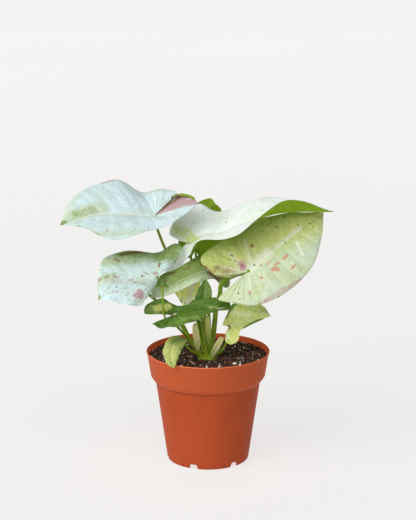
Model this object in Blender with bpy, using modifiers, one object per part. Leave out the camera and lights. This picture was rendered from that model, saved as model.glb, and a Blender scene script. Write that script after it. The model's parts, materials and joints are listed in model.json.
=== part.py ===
"""Potted syngonium: a 105 mm nursery pot, its soil and one young plant with cream and pink mottled leaves.

Metres, +Z up. The origin is the middle of the pot's foot, on the surface that it stands on.
+X is to the right and +Y to the back of the plant. Tables of points are in millimetres.
"""
import math

import bmesh
import bpy
import numpy as np
from mathutils import Matrix, Vector

NAME = "potted_syngonium"
MM = 0.001
GAP = 0.3 * MM

# Pot: a tapered injection-moulded pot with a deep rim band and a notched foot.
RIM_R = 52.5 * MM
POT_H = 95.7 * MM
BAND_R = 48.7 * MM
BAND_H = 21.5 * MM
NECK_R = 44.5 * MM
NECK_DROP = 27.6 * MM
BASE_R = 34.8 * MM
WALL = 1.3 * MM
LIP = 0.9 * MM
CORNER = 3.0 * MM
FLOOR_Z = 4.8 * MM
FLOOR_T = 1.4 * MM
SKIRT_T = 1.8 * MM
BOSS_R = 13.0 * MM
POT_SEGMENTS = 48

NOTCHES = 6
NOTCH_AZIMUTH = math.radians(-20.7)
NOTCH_W = 10.0 * MM
NOTCH_TOP_W = 6.0 * MM
NOTCH_H = 4.3 * MM
VENT_OFFSET = math.radians(-16.3)
VENT_R = 0.9 * MM
VENT_Z = 2.6 * MM
DRAIN_R = 3.0 * MM
DRAIN_RING_R = 22.0 * MM
CUT_DEPTH = 12.0 * MM

# Soil: filled to a little under the rim, with a plain hole that the crown stands in.
SOIL_TOP = 91.2 * MM
SOIL_RINGS = 6
SOIL_BUMP = 0.7 * MM
SOIL_LEVEL = 9.0 * MM

# Crown: the short stem that every petiole grows from.
CROWN = (0.0, -8.0)
CROWN_R = 8.6 * MM
CROWN_HOLE_R = CROWN_R + 2 * GAP
CROWN_ROOT_R = 7.0 * MM
CROWN_ROOT = 14.0 * MM
CROWN_SHOULDER = 3.0 * MM
CROWN_H = 7.5 * MM
CROWN_SEGMENTS = 18
TUBE_SIDES = 8

BLADE = 0.8 * MM
SMALL_BLADE = 0.7 * MM
SEAT = 0.55 * MM

# Where along the midrib each rib starts, from the lobe's inner side to the tip.
LOBED = (0.0, 0.0, 0.0, 0.0, 0.22, 0.5, 0.8, 1.0)
PLAIN = (0.0, 0.2, 0.5, 0.8, 1.0)
RINGS = 4

# How the bow turns from the junction's own direction to the rib's, in ribs, and how far along the
# margin, ahead and behind, a rib looks for its direction.
FAN_TURN = 4
LOOK_AHEAD = 1.5
LOOK_BEHIND = 0.5

# Each blade: its junction with the petiole, its midrib to the tip, and the margin on its left and
# right hand as seen along the midrib from above. A lobed margin runs from the inner side of the
# basal lobe round its end and shoulder to the taper; a plain one starts at the shoulder. cup is how
# far the blade bows up between midrib and margin, as a share of the rib.
BLADES = {
    "leaf_upper_left": dict(
        junction=(-45, 4, 210), midrib=[(-67, 1, 214), (-94, -5, 215), (-123, -12, 208)],
        left=[(-30, 16, 218.5), (-18, 19, 226), (-9, 4, 225), (-23, -12, 215),
              (-48, -27, 206), (-78, -36, 201), (-103, -24, 208)],
        right=[(-34.5, 16, 220), (-28, 29, 228), (-38, 34, 229), (-56, 34, 226),
               (-79, 28, 238), (-100, 14, 234), (-115, -1, 226)],
        roots=LOBED, cup=0.03, rows=3, thickness=BLADE, colour="mint"),
    "leaf_upper_right": dict(
        junction=(-17, 2, 189),
        midrib=[(-4, 0, 197), (15, -3, 200), (36, -6, 210), (64, -4, 217), (106, 2, 216)],
        left=[(-25, 10, 189), (-33, 22, 193), (-26, 32, 203), (-8, 38, 215),
              (12, 36, 209), (46, 28, 223), (83, 13, 221)],
        right=[(-33, 8.5, 171), (-36, 11, 161.5), (-24, 8, 166.5), (-16.5, -6, 179.5),
               (-5, -26, 198), (25, -35, 205), (63, -22, 231)],
        roots=LOBED, cup=0.05, rows=3, thickness=BLADE, colour="mint"),
    "leaf_right": dict(
        junction=(33, -22, 170), midrib=[(53, -12, 185), (77, -1, 202), (98, 12, 214)],
        left=[(18, -21, 164), (6, -20, 166), (-6, -13, 179), (10, -8, 193),
              (29, 3, 204), (59, 6, 213), (80, 9, 214)],
        right=[(11, -32, 153), (9, -37, 149.5), (21, -40, 148), (39, -43, 147),
               (63, -37, 155), (86, -20, 173), (95, -4, 195)],
        roots=LOBED, cup=0.06, rows=3, thickness=BLADE, colour="lime"),
    "leaf_left": dict(
        junction=(-42, -22, 166), midrib=[(-66, -31, 164), (-86, -36, 166), (-90, -42, 151)],
        left=[(-43, -29, 161), (-51, -45, 152), (-56, -52, 149), (-65, -57, 151),
              (-76, -57, 154), (-84, -52, 153), (-88, -46, 154)],
        right=[(-31, -14, 172), (-21, -3, 183), (-27, 1, 189), (-43, 3, 181),
               (-70, 1, 182), (-87, -10, 178), (-91, -26, 168)],
        roots=LOBED, cup=0.05, rows=3, thickness=BLADE, colour="mint"),
    "leaf_middle": dict(
        junction=(-2, -4, 167), midrib=[(-15, -9, 163), (-32, -16, 156), (-48, -22, 147)],
        left=[(16, 4, 160), (19, 2, 154.5), (15, -2, 151), (5, -7, 160),
              (-8, -17, 160), (-23, -21, 154), (-36, -23, 149)],
        right=[(4, 4, 171), (5, 9, 175), (-3, 8, 178), (-13, 3, 175),
               (-24.5, -3, 169), (-38, -9, 164.5), (-46, -17, 155)],
        roots=LOBED, cup=0.05, rows=2, thickness=BLADE, colour="lime"),
    "leaf_back": dict(
        junction=(-11, 52, 171), midrib=[(-7, 48, 192), (0, 44, 209), (7, 42, 214)],
        left=[(-7, 52, 163), (-3, 52, 162), (4, 51, 166), (11, 49, 175),
              (11, 46, 190), (12, 44, 202), (11, 42.5, 210)],
        right=[(-14, 52, 165), (-18, 52, 164), (-24, 51, 170), (-26, 49, 179),
               (-23, 46, 194), (-12, 46, 212), (1, 43.5, 219)],
        roots=LOBED, cup=0.04, rows=2, thickness=BLADE, colour="green"),
    "leaf_folded": dict(
        junction=(-28, -38, 137), midrib=[(-20, -37, 143), (-1, -35, 141), (19, -32, 140)],
        left=[(-46.5, -46.5, 141), (-52, -46, 142), (-50, -40, 147), (-38, -33, 149.5),
              (-21, -24, 140), (0, -25, 148.5), (17, -26, 146)],
        right=[(-44, -54.5, 135), (-45, -58, 134.5), (-37, -59.5, 132), (-26, -57, 133),
               (-14, -53, 135), (-2, -46, 139), (11, -37, 141.2)],
        roots=LOBED, cup=0.04, rows=2, thickness=SMALL_BLADE, colour="green"),
    "leaf_small_right": dict(
        junction=(18, -16, 121), midrib=[(35, -14, 126), (53, -8, 128)],
        left=[(12, -13, 121.5), (15.5, -6, 128), (21, 1, 136), (27, 4, 138.5),
              (40, 3, 138.5), (46, 0, 135.5), (50.5, -5, 131)],
        right=[(15, -19, 117), (14.5, -24, 111), (19, -27, 108.5), (25, -27, 112),
               (27, -23, 120), (38, -19, 124.5), (46.5, -13.5, 127)],
        roots=LOBED, cup=0.05, rows=2, thickness=SMALL_BLADE, colour="lime"),
    "leaf_upright": dict(
        junction=(-4, -16, 134), midrib=[(-4, -15, 148), (-2, -14, 162)],
        left=[(-10, -15, 136), (-12, -15, 142), (-10, -15, 149), (-6, -14, 157)],
        right=[(1, -17, 138), (3, -18, 146), (3, -17, 153), (1, -15, 158)],
        roots=PLAIN, cup=0.08, rows=2, thickness=SMALL_BLADE, colour="green"),
    "leaf_young": dict(
        junction=(-16, 4, 161), midrib=[(-17, 1, 147), (-19, -8, 134)],
        left=[(-8, 6, 163), (-6, 3, 155), (-10, -1, 146), (-16, -5, 138)],
        right=[(-24, 6, 163), (-31, 4, 154), (-28, 1, 146), (-23, -4, 139)],
        roots=PLAIN, cup=0.08, rows=2, thickness=SMALL_BLADE, colour="cream"),
    "leaf_over_rim": dict(
        junction=(-19, -26, 113), midrib=[(-28, -36, 113), (-31, -45, 105), (-28, -51, 95)],
        left=[(-17, -30, 113), (-20.5, -38, 110), (-23.5, -44, 104.5), (-26, -49, 99.5)],
        right=[(-24, -27, 116), (-32, -33, 116), (-37, -42, 108), (-34, -50, 99)],
        roots=PLAIN, cup=0.08, rows=2, thickness=SMALL_BLADE, colour="lime"),
    "leaf_arrow": dict(
        junction=(-38, -47, 165), midrib=[(-38, -46.5, 169), (-39, -46, 173)],
        left=[(-43, -48, 163), (-41, -47.5, 167), (-40, -47, 170)],
        right=[(-32, -49, 163), (-35, -48, 167), (-37, -47, 170)],
        roots=(0.0, 0.3, 0.7, 1.0), cup=0.0, rows=2, thickness=SMALL_BLADE, colour="green"),
}

# Petioles: the blade that each one carries, its width at the crown and at the blade, and the points
# that it passes from the crown up. The last stretch, square to the blade, is worked out.
PETIOLES = [
    ("leaf_upper_left", 3.4, 2.2, [(-1, -4, 92), (-9, 6, 122), (-23, 15, 152), (-36, 14, 180),
                                   (-43, 9, 200)]),
    ("leaf_upper_right", 3.8, 2.0, [(-2, -4, 92), (-6, 5, 128), (-11, 12, 158), (-15, 10, 177)]),
    ("leaf_right", 5.6, 3.2, [(1, -9, 92), (5, -6, 116), (7, -6, 135), (10, -6, 146), (12, -8, 157),
                              (24, -13, 165)]),
    ("leaf_left", 3.4, 2.2, [(-5, -9, 92), (-17, -13, 113), (-30, -15, 131), (-44, -11, 142.5),
                             (-52.5, -12, 151), (-49, -16, 158.5)]),
    ("leaf_middle", 3.2, 2.2, [(0, -6, 92), (-2, -3, 117), (-3, -1, 140), (-2, 0, 156)]),
    ("leaf_back", 3.2, 2.2, [(1, -4, 92), (1, 12, 120), (-3, 33, 143), (-9, 46, 158)]),
    ("leaf_folded", 3.2, 2.2, [(-6, -12, 92), (-14.5, -19.5, 110), (-20, -27, 124), (-25, -33, 132)]),
    ("leaf_small_right", 2.8, 1.8, [(4, -11, 93), (11, -14, 99), (16, -15, 108), (18, -15, 116)]),
    ("leaf_upright", 2.6, 1.8, [(-1, -13, 92), (-4, -16, 113), (-5, -14, 127)]),
    ("leaf_young", 3.0, 1.8, [(-3, -4, 92), (-10, 4, 123), (-15, 11, 145), (-17, 11, 157)]),
    ("leaf_over_rim", 2.6, 1.8, [(-5, -12, 93), (-13, -19, 100), (-18, -24, 106)]),
    ("leaf_arrow", 2.6, 1.6, [(-6, -10, 92), (-18.5, -18, 113), (-28, -27.5, 126), (-33.5, -40, 132.5),
                              (-36, -43.6, 138.5), (-37, -46.3, 152)]),
]
LAST_STRETCH = 3.0
FOOT_SINK = 6.0

# Two dry sheaths and a young shoot among the stems: name, foot, head, and the width at the foot,
# belly and head.
SHEATHS = [
    ("sheath_left", (-8.4, -18.4, 100.5), (-11, -22, 124), (3.0, 5.5, 3.5), "straw"),
    ("sheath_right", (3, -15.3, 94), (11.5, -20, 112), (3.0, 5.0, 3.5), "straw"),
    ("shoot", (0.5, -13, 97.9), (-0.3, -13, 128), (2.5, 5.0, 3.0), "cream"),
]

COLOURS = {
    "terracotta": ((0.50, 0.105, 0.035), 0.45),
    "soil": ((0.018, 0.010, 0.007), 0.95),
    "stem": ((0.10, 0.24, 0.015), 0.45),
    "mint": ((0.62, 0.78, 0.70), 0.5),
    "lime": ((0.45, 0.58, 0.22), 0.5),
    "green": ((0.07, 0.20, 0.03), 0.4),
    "cream": ((0.68, 0.70, 0.25), 0.5),
    "straw": ((0.55, 0.47, 0.27), 0.7),
}


def clear_scene():
    for ob in list(bpy.data.objects):
        bpy.data.objects.remove(ob)


def collection(name):
    col = bpy.data.collections.new(name)
    bpy.context.scene.collection.children.link(col)
    return col


def material(name):
    colour, roughness = COLOURS[name]
    mat = bpy.data.materials.get(name) or bpy.data.materials.new(name)
    mat.use_nodes = True
    shader = mat.node_tree.nodes["Principled BSDF"]
    shader.inputs["Base Color"].default_value = (*colour, 1.0)
    shader.inputs["Roughness"].default_value = roughness
    shader.inputs["Metallic"].default_value = 0.0
    return mat


def mesh_object(name, bm, col, colour=None):
    mesh = bpy.data.meshes.new(name)
    bm.to_mesh(mesh)
    bm.free()
    ob = bpy.data.objects.new(name, mesh)
    col.objects.link(ob)
    if colour:
        mesh.materials.append(material(colour))
    return ob


def hide_cutter(ob):
    ob.hide_render = True
    ob.display_type = "WIRE"


def baked(ob, name, col):
    """The object's evaluated shape as a plain mesh object; the first object is removed."""
    graph = bpy.context.evaluated_depsgraph_get()
    mesh = bpy.data.meshes.new_from_object(ob.evaluated_get(graph))
    new = bpy.data.objects.new(name, mesh)
    new.matrix_world = ob.matrix_world
    col.objects.link(new)
    bpy.data.objects.remove(ob)
    return new


def turned(name, profile, segments, col, colour):
    """A closed profile of (radius, height), down its outer side, turned round Z."""
    bm = bmesh.new()
    verts = [bm.verts.new((r, 0.0, z)) for r, z in profile]
    for a, b in zip(verts, verts[1:]):
        bm.edges.new((a, b))
    if profile[0][0] > 0:
        bm.edges.new((verts[-1], verts[0]))
    ob = mesh_object(name, bm, col, colour)
    screw = ob.modifiers.new("turn", "SCREW")
    screw.axis = "Z"
    screw.steps = segments
    screw.render_steps = segments
    screw.use_merge_vertices = True
    screw.merge_threshold = 0.00001
    return ob


def outer_radius(z):
    """The pot's outer radius at a height, below the neck."""
    neck_z = POT_H - NECK_DROP
    return BASE_R + (NECK_R - BASE_R) * z / neck_z


def pot_profile():
    neck_z = POT_H - NECK_DROP
    band_z = POT_H - BAND_H
    corner = []
    for k in range(4):
        a = math.radians(90 * k / 3)
        r = outer_radius(CORNER) - CORNER * 0.5 * (1 - math.cos(a))
        corner.append((r, CORNER * (1 - math.sin(a))))
    floor_r = outer_radius(FLOOR_Z) - SKIRT_T
    inner_z = FLOOR_Z + FLOOR_T
    return [
        (RIM_R - 0.3 * MM, POT_H), (RIM_R, POT_H - 0.4 * MM), (RIM_R - 0.1 * MM, POT_H - 1.6 * MM),
        (RIM_R - 0.6 * MM, POT_H - 2.0 * MM),
        (BAND_R + 0.3 * MM, band_z + 1.0 * MM), (BAND_R, band_z),
        (NECK_R + 0.5 * MM, neck_z + 1.0 * MM), (NECK_R, neck_z), *corner,
        (floor_r - 0.6 * MM, 0.0), (floor_r, FLOOR_Z), (BOSS_R + 1.2 * MM, FLOOR_Z), (BOSS_R, 0.0),
        (0.0, 0.0), (0.0, FLOOR_T), (BOSS_R - 0.8 * MM, FLOOR_T), (BOSS_R + 0.2 * MM, inner_z),
        (outer_radius(inner_z) - WALL, inner_z), (NECK_R - WALL, neck_z - 0.6 * MM),
        (BAND_R - WALL, band_z - 0.6 * MM), (RIM_R - LIP - 0.6 * MM, POT_H - 2.0 * MM),
        (RIM_R - LIP, POT_H),
    ]


def notch_cutter(azimuth, col):
    bm = bmesh.new()
    bmesh.ops.create_cube(bm, size=1.0)
    for v in bm.verts:
        width = NOTCH_TOP_W if v.co.z > 0 else NOTCH_W
        v.co = Vector((v.co.x * width, v.co.y * CUT_DEPTH, NOTCH_H if v.co.z > 0 else -NOTCH_H))
    bm.transform(Matrix.Rotation(azimuth, 4, "Z") @ Matrix.Translation((0.0, -BASE_R, 0.0)))
    ob = mesh_object("notch_cutter", bm, col)
    hide_cutter(ob)


def hole_cutter(place, radius, col):
    bm = bmesh.new()
    bmesh.ops.create_cone(bm, cap_ends=True, segments=10, radius1=radius, radius2=radius, depth=CUT_DEPTH)
    bm.transform(place)
    ob = mesh_object("hole_cutter", bm, col)
    hide_cutter(ob)


def cut(ob, cutters):
    mod = ob.modifiers.new("cut", "BOOLEAN")
    mod.operation = "DIFFERENCE"
    mod.operand_type = "COLLECTION"
    mod.collection = cutters
    mod.solver = "EXACT"


def build_pot(parts):
    pot = turned("pot", pot_profile(), POT_SEGMENTS, parts, "terracotta")
    cutters = collection("pot_cutters")
    sideways = Matrix.Rotation(math.pi / 2, 4, "X")
    for k in range(NOTCHES):
        azimuth = NOTCH_AZIMUTH + k * math.tau / NOTCHES
        notch_cutter(azimuth, cutters)
        vent = Matrix.Rotation(azimuth + VENT_OFFSET, 4, "Z")
        hole_cutter(vent @ Matrix.Translation((0.0, -BASE_R, VENT_Z)) @ sideways, VENT_R, cutters)
        drain = Matrix.Rotation(azimuth + math.pi / NOTCHES, 4, "Z")
        hole_cutter(drain @ Matrix.Translation((0.0, -DRAIN_RING_R, FLOOR_Z)), DRAIN_R, cutters)
    cut(pot, cutters)
    return pot


def soil_height(x, y):
    """Loose, lumpy potting mix: a few crossed waves, level again round the crown."""
    u, v = x / MM, y / MM
    wave = (math.sin(0.55 * u + 1.3) * math.cos(0.47 * v) + 0.6 * math.sin(0.31 * u - 0.83 * v)
            + 0.4 * math.cos(0.97 * u + 0.6 * v))
    from_hole = math.hypot(u - CROWN[0], v - CROWN[1]) * MM - CROWN_HOLE_R
    level = min(1.0, max(0.0, from_hole / SOIL_LEVEL))
    return SOIL_TOP + SOIL_BUMP * wave * level


def build_soil(parts):
    """Turned about the pot's axis with its hole in the middle, then the hole is moved under the crown."""
    neck_z = POT_H - NECK_DROP
    band_z = POT_H - BAND_H
    floor = FLOOR_Z + FLOOR_T + GAP
    inner = WALL + 1.3 * GAP
    slope = (RIM_R - LIP - 0.6 * MM - BAND_R + WALL) / (BAND_H - 2.0 * MM)
    top_r = BAND_R - inner + slope * (SOIL_TOP - band_z)
    hole_z = SOIL_TOP - CROWN_ROOT - GAP
    step = (top_r - CROWN_HOLE_R) / SOIL_RINGS
    profile = [(0.0, hole_z), (CROWN_HOLE_R, hole_z)]
    profile += [(CROWN_HOLE_R + step * k, SOIL_TOP) for k in range(SOIL_RINGS + 1)]
    profile += [(BAND_R - inner, band_z), (NECK_R - inner, neck_z - 0.6 * MM),
                (outer_radius(floor) - inner, floor), (0.0, floor)]
    soil = turned("soil_blank", profile, POT_SEGMENTS, parts, "soil")
    soil = baked(soil, "soil", parts)
    for v in soil.data.vertices:
        if v.co.z < hole_z - GAP or abs(v.co.z - band_z) < GAP:
            continue
        share = (top_r - math.hypot(v.co.x, v.co.y)) / (top_r - CROWN_HOLE_R)
        share = min(1.0, max(0.0, share))
        v.co.x += CROWN[0] * MM * share
        v.co.y += CROWN[1] * MM * share
        if v.co.z > SOIL_TOP - GAP:
            v.co.z = soil_height(v.co.x, v.co.y)
    return soil


def through(points, at):
    """A smooth curve that passes each point; at runs from 0 to the last point's index."""
    k = min(int(at), len(points) - 2)
    t = at - k
    before = points[k - 1] if k else 2 * points[0] - points[1]
    after = points[k + 2] if k + 2 < len(points) else 2 * points[-1] - points[-2]
    a, b = points[k], points[k + 1]
    return 0.5 * (2 * a + (b - before) * t + (2 * before - 5 * a + 4 * b - after) * t ** 2
                  + (3 * a - before - 3 * b + after) * t ** 3)


def blade_rows(leaf):
    """The blade as rows of points, each from the left margin over the midrib to the right margin."""
    junction = np.array(leaf["junction"], float)
    spine = [junction] + [np.array(p, float) for p in leaf["midrib"]]
    fine = [through(spine, at) for at in np.linspace(0, len(spine) - 1, 60)]
    length = np.cumsum([0] + [np.linalg.norm(b - a) for a, b in zip(fine, fine[1:])])
    stations = len(leaf["roots"])
    level = upper_side(leaf)
    rows = []
    for at in np.linspace(0, stations - 1, (stations - 1) * leaf["rows"] + 1):
        share = np.interp(at, range(stations), leaf["roots"])
        turning = min(1.0, at / FAN_TURN)
        root = np.array([np.interp(share * length[-1], length, axis) for axis in np.array(fine).T])
        halves = []
        for side, hand in (("left", 1.0), ("right", -1.0)):
            margin = [np.array(p, float) for p in leaf[side]] + [spine[-1]]
            edge = through(margin, at)
            front = through(margin, min(at + LOOK_AHEAD, stations - 1))
            ahead = front - through(margin, max(at - LOOK_BEHIND, 0))
            rib = edge - root
            up = hand * np.cross(ahead, rib)
            up = level * (1 - turning) + up / (np.linalg.norm(up) + 1e-9) * turning
            bow = leaf["cup"] * np.linalg.norm(rib)
            shares = np.linspace(0, 1, RINGS + 1)
            halves.append([root + rib * t + up * bow * 4 * t * (1 - t) for t in shares])
        rows.append(halves[0][:0:-1] + halves[1])
    return rows


def build_blade(name, leaf, parts):
    rows = blade_rows(leaf)
    bm = bmesh.new()
    columns = len(rows[0])
    bmesh.ops.create_grid(bm, x_segments=columns - 1, y_segments=len(rows) - 1, size=1.0)
    bm.verts.ensure_lookup_table()
    for k, v in enumerate(bm.verts):
        v.co = Vector(rows[k // columns][k % columns]) * MM
    bmesh.ops.remove_doubles(bm, verts=bm.verts, dist=0.02 * MM)
    bmesh.ops.triangulate(bm, faces=bm.faces)
    blade = mesh_object(name, bm, parts, leaf["colour"])
    shell = blade.modifiers.new("thickness", "SOLIDIFY")
    shell.thickness = leaf["thickness"]
    shell.offset = -1.0
    blade.data.shade_smooth()
    return blade


def upper_side(leaf):
    """The direction that the blade's upper side faces at the junction, the mean over the ribs there."""
    fan_size = leaf["roots"].count(0.0)
    fan = [*leaf["left"][:fan_size], leaf["midrib"][0], *reversed(leaf["right"][:fan_size])]
    ribs = [np.array(p, float) - np.array(leaf["junction"], float) for p in fan]
    faces = [np.cross(b, a) for a, b in zip(ribs, ribs[1:])]
    up = sum(face / np.linalg.norm(face) for face in faces)
    return up / np.linalg.norm(up)


def tube(name, points, widths, col):
    curve = bpy.data.curves.new(name, "CURVE")
    curve.dimensions = "3D"
    curve.bevel_depth = MM
    curve.bevel_resolution = (TUBE_SIDES - 4) // 2
    curve.use_fill_caps = True
    spline = curve.splines.new("POLY")
    spline.points.add(len(points) - 1)
    for point, place, width in zip(spline.points, points, widths):
        point.co = (*(Vector(place) * MM), 1.0)
        point.radius = width / 2
    ob = bpy.data.objects.new(name, curve)
    col.objects.link(ob)
    ob = baked(ob, name, col)
    bm = bmesh.new()
    bm.from_mesh(ob.data)
    bmesh.ops.remove_doubles(bm, verts=bm.verts, dist=0.01 * MM)
    bm.to_mesh(ob.data)
    bm.free()
    return ob


def petiole(name, foot_w, head_w, route, col):
    leaf = BLADES[name]
    junction = np.array(leaf["junction"], float)
    up = upper_side(leaf)
    seat = junction - up * (leaf["thickness"] + SEAT) / MM
    knots = [np.array(p, float) for p in route] + [seat - up * LAST_STRETCH]
    knots.insert(0, knots[0] - np.array((0.0, 0.0, FOOT_SINK)))
    curve = [through(knots, at) for at in np.linspace(0, len(knots) - 1, 2 * len(knots))] + [seat]
    return tube("petiole_" + name, curve, np.linspace(foot_w, head_w, len(curve)), col)


def build_stems(parts):
    """The crown and its petioles grew as one: they are one green body."""
    profile = [(0.0, SOIL_TOP + CROWN_H), (CROWN_R * 0.45, SOIL_TOP + CROWN_H * 0.85),
               (CROWN_R * 0.8, SOIL_TOP + CROWN_SHOULDER), (CROWN_R, SOIL_TOP),
               (CROWN_ROOT_R, SOIL_TOP - CROWN_ROOT * 0.6), (CROWN_ROOT_R * 0.7, SOIL_TOP - CROWN_ROOT),
               (0.0, SOIL_TOP - CROWN_ROOT)]
    crown = turned("stems", profile, CROWN_SEGMENTS, parts, "stem")
    crown.location = (CROWN[0] * MM, CROWN[1] * MM, 0.0)
    tubes = collection("petioles")
    for name, foot_w, head_w, route in PETIOLES:
        petiole(name, foot_w, head_w, route, tubes)
    join = crown.modifiers.new("grow", "BOOLEAN")
    join.operation = "UNION"
    join.operand_type = "COLLECTION"
    join.collection = tubes
    join.solver = "EXACT"
    bpy.context.view_layer.update()
    stems = baked(crown, "stems", parts)
    for ob in list(tubes.objects):
        bpy.data.objects.remove(ob)
    stems.name = "stems"
    stems.data.shade_smooth()
    return stems


def build_sheath(name, foot, head, widths, colour, parts):
    """A dry leaf sheath: a short pointed strip, bowed round the stems behind it."""
    foot, head = np.array(foot, float), np.array(head, float)
    along = head - foot
    across = np.array((1.0, 0.0, -along[0] / along[2]))
    leaf = dict(
        junction=foot, midrib=[foot + along / 2, head + along * 0.08],
        left=[foot - across * widths[0] / 2, foot + along * 0.35 - across * widths[1] / 2,
              foot + along * 0.7 - across * widths[1] / 2, head - across * widths[2] / 2],
        right=[foot + across * widths[0] / 2, foot + along * 0.35 + across * widths[1] / 2,
               foot + along * 0.7 + across * widths[1] / 2, head + across * widths[2] / 2],
        roots=PLAIN, cup=0.1, rows=2, thickness=SMALL_BLADE, colour=colour)
    return build_blade(name, leaf, parts)


def main():
    clear_scene()
    parts = collection(NAME)
    build_pot(parts)
    build_soil(parts)
    build_stems(parts)
    for name, leaf in BLADES.items():
        build_blade(name, leaf, parts)
    for name, foot, head, widths, colour in SHEATHS:
        build_sheath(name, foot, head, widths, colour, parts)


main()
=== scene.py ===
"""Potted syngonium: the dressed model of one young plant in a terracotta-coloured nursery pot.

Metres, +Z up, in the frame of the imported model. The origin is the middle of the pot's foot.
Tables of points are in millimetres.
"""

import json
import math

import bmesh
import bpy
import numpy as np
from bpy.props import FloatProperty, FloatVectorProperty, IntProperty, PointerProperty
from mathutils import Matrix, Vector, noise

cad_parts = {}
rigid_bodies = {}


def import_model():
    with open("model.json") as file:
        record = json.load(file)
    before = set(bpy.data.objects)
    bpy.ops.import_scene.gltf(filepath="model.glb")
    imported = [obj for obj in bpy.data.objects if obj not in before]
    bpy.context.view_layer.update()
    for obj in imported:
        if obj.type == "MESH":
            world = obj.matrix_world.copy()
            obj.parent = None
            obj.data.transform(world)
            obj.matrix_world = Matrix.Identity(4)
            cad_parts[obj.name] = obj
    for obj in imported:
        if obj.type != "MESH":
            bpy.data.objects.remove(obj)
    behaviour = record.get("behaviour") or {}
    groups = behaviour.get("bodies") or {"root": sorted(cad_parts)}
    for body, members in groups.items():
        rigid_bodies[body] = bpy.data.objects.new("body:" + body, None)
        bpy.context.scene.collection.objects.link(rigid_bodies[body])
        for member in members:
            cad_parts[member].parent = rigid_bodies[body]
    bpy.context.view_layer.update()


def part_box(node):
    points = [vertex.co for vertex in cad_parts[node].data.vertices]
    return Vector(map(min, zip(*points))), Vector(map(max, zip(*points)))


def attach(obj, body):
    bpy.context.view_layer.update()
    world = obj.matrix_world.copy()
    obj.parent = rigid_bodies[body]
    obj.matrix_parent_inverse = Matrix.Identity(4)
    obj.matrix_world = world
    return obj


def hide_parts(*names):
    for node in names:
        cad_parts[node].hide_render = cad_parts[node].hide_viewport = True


bl_info = {
    "name": "Potted syngonium",
    "version": (1, 0, 0),
    "blender": (4, 5, 0),
    "location": "3D View > Sidebar > Syngonium",
    "description": "Pot, potting mix, petioles and mottled leaves of a young syngonium",
    "category": "Add Mesh",
}

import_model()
POT_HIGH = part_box("pot")[1]
MM = 0.001
SOIL_TOP = 91.2


def colour(name, text, *screen):
    """A colour property. Its default is given as a screen shows it, 0 to 255, and kept as linear light."""
    linear = [c / 255 / 12.92 if c <= 10 else ((c / 255 + 0.055) / 1.055) ** 2.4 for c in screen]
    return FloatVectorProperty(name=name, description=text, subtype="COLOR", size=3, min=0.0, max=1.0,
                               default=linear)


def number(name, text, default, **more):
    return FloatProperty(name=name, description=text, default=default, **more)


def length(name, text, default):
    return number(name, text, default, min=0.0, unit="LENGTH", precision=5)


def count(name, text, default, least=0):
    return IntProperty(name=name, description=text, default=default, min=least)


# What a user would change.


class PotSettings(bpy.types.PropertyGroup):
    rim_radius: length("Rim radius", "Outer radius of the pot's lip", POT_HIGH.x)
    height: length("Height", "From the foot to the top of the lip", POT_HIGH.z)
    plastic: colour("Plastic", "Colour of the moulded pot", 178, 77, 41)
    # This colour, darkened, also gives the painted shade in the crease under the band.
    flow_marks_and_crease_shade: colour("Mould shade", "Darker flow marks and scuffs in the plastic", 162, 70, 37)
    # edge is the colour of two painted lights: the highlight along the top of the lip, and the lighter band.
    edge: colour("Lip edge", "Pale edge where light comes through the thin lip", 234, 126, 82)


class SoilSettings(bpy.types.PropertyGroup):
    level: length("Level", "Height of the potting mix above the foot", SOIL_TOP * MM)
    crumbs: count("Crumbs", "Loose crumbs of peat and bark", 2600)
    grains: count("Perlite", "White perlite grains besides the large ones", 420)
    peat: colour("Peat", "Colour of the wet mix", 50, 26, 18)
    bark: colour("Bark", "Colour of the lighter crumbs", 142, 92, 70)
    perlite: colour("Perlite colour", "Colour of the mineral grains", 240, 234, 220)


class LeafSettings(bpy.types.PropertyGroup):
    blade: length("Blade thickness", "Thickness of a grown leaf", 0.45 * MM)
    quilting: length("Quilting", "How far the blade swells between its side veins", 0.5 * MM)
    ruffle: length("Ruffle", "Height of the waves along the margin", 0.55 * MM)
    waves: length("Waves", "Height of the slow waves over the whole blade", 0.9 * MM)
    mint: colour("Mint", "Bluish ground of the palest leaves", 218, 240, 246)
    milk: colour("Milk", "White of the freshest leaf", 231, 237, 236)
    sage: colour("Sage", "Pale green of the pale leaves", 203, 218, 190)
    lime: colour("Lime", "Yellow-green of the half-turned leaves", 200, 206, 120)
    gold: colour("Gold", "Yellow of the youngest leaf", 253, 252, 158)
    moss: colour("Moss", "Mid green of the mottling", 136, 160, 82)
    slate: colour("Slate", "Grey-green flecks of the palest leaves", 152, 176, 160)
    deep: colour("Deep green", "Green of the oldest leaves", 70, 108, 22)
    fresh: colour("Fresh green", "Bright green of the undersides", 122, 156, 2)
    blush: colour("Blush", "Pink of the blotches", 190, 148, 152)
    coral: colour("Coral", "Warmer pink of the small blotches", 206, 146, 118)
    rust: colour("Rust", "Brown of the streaks", 138, 98, 66)
    vein: colour("Vein", "Pale green-white of the veins", 232, 236, 214)


class StemSettings(bpy.types.PropertyGroup):
    sides: count("Sides", "Sides of each petiole", 20, 8)
    green: colour("Petiole", "Green of the petioles", 122, 152, 18)
    pale: colour("Petiole base", "Lighter green where the petioles clasp the crown", 172, 196, 56)
    straw: colour("Straw", "Dry sheaths", 248, 240, 172)
    cream: colour("Cream", "The young shoot", 236, 234, 132)


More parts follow.
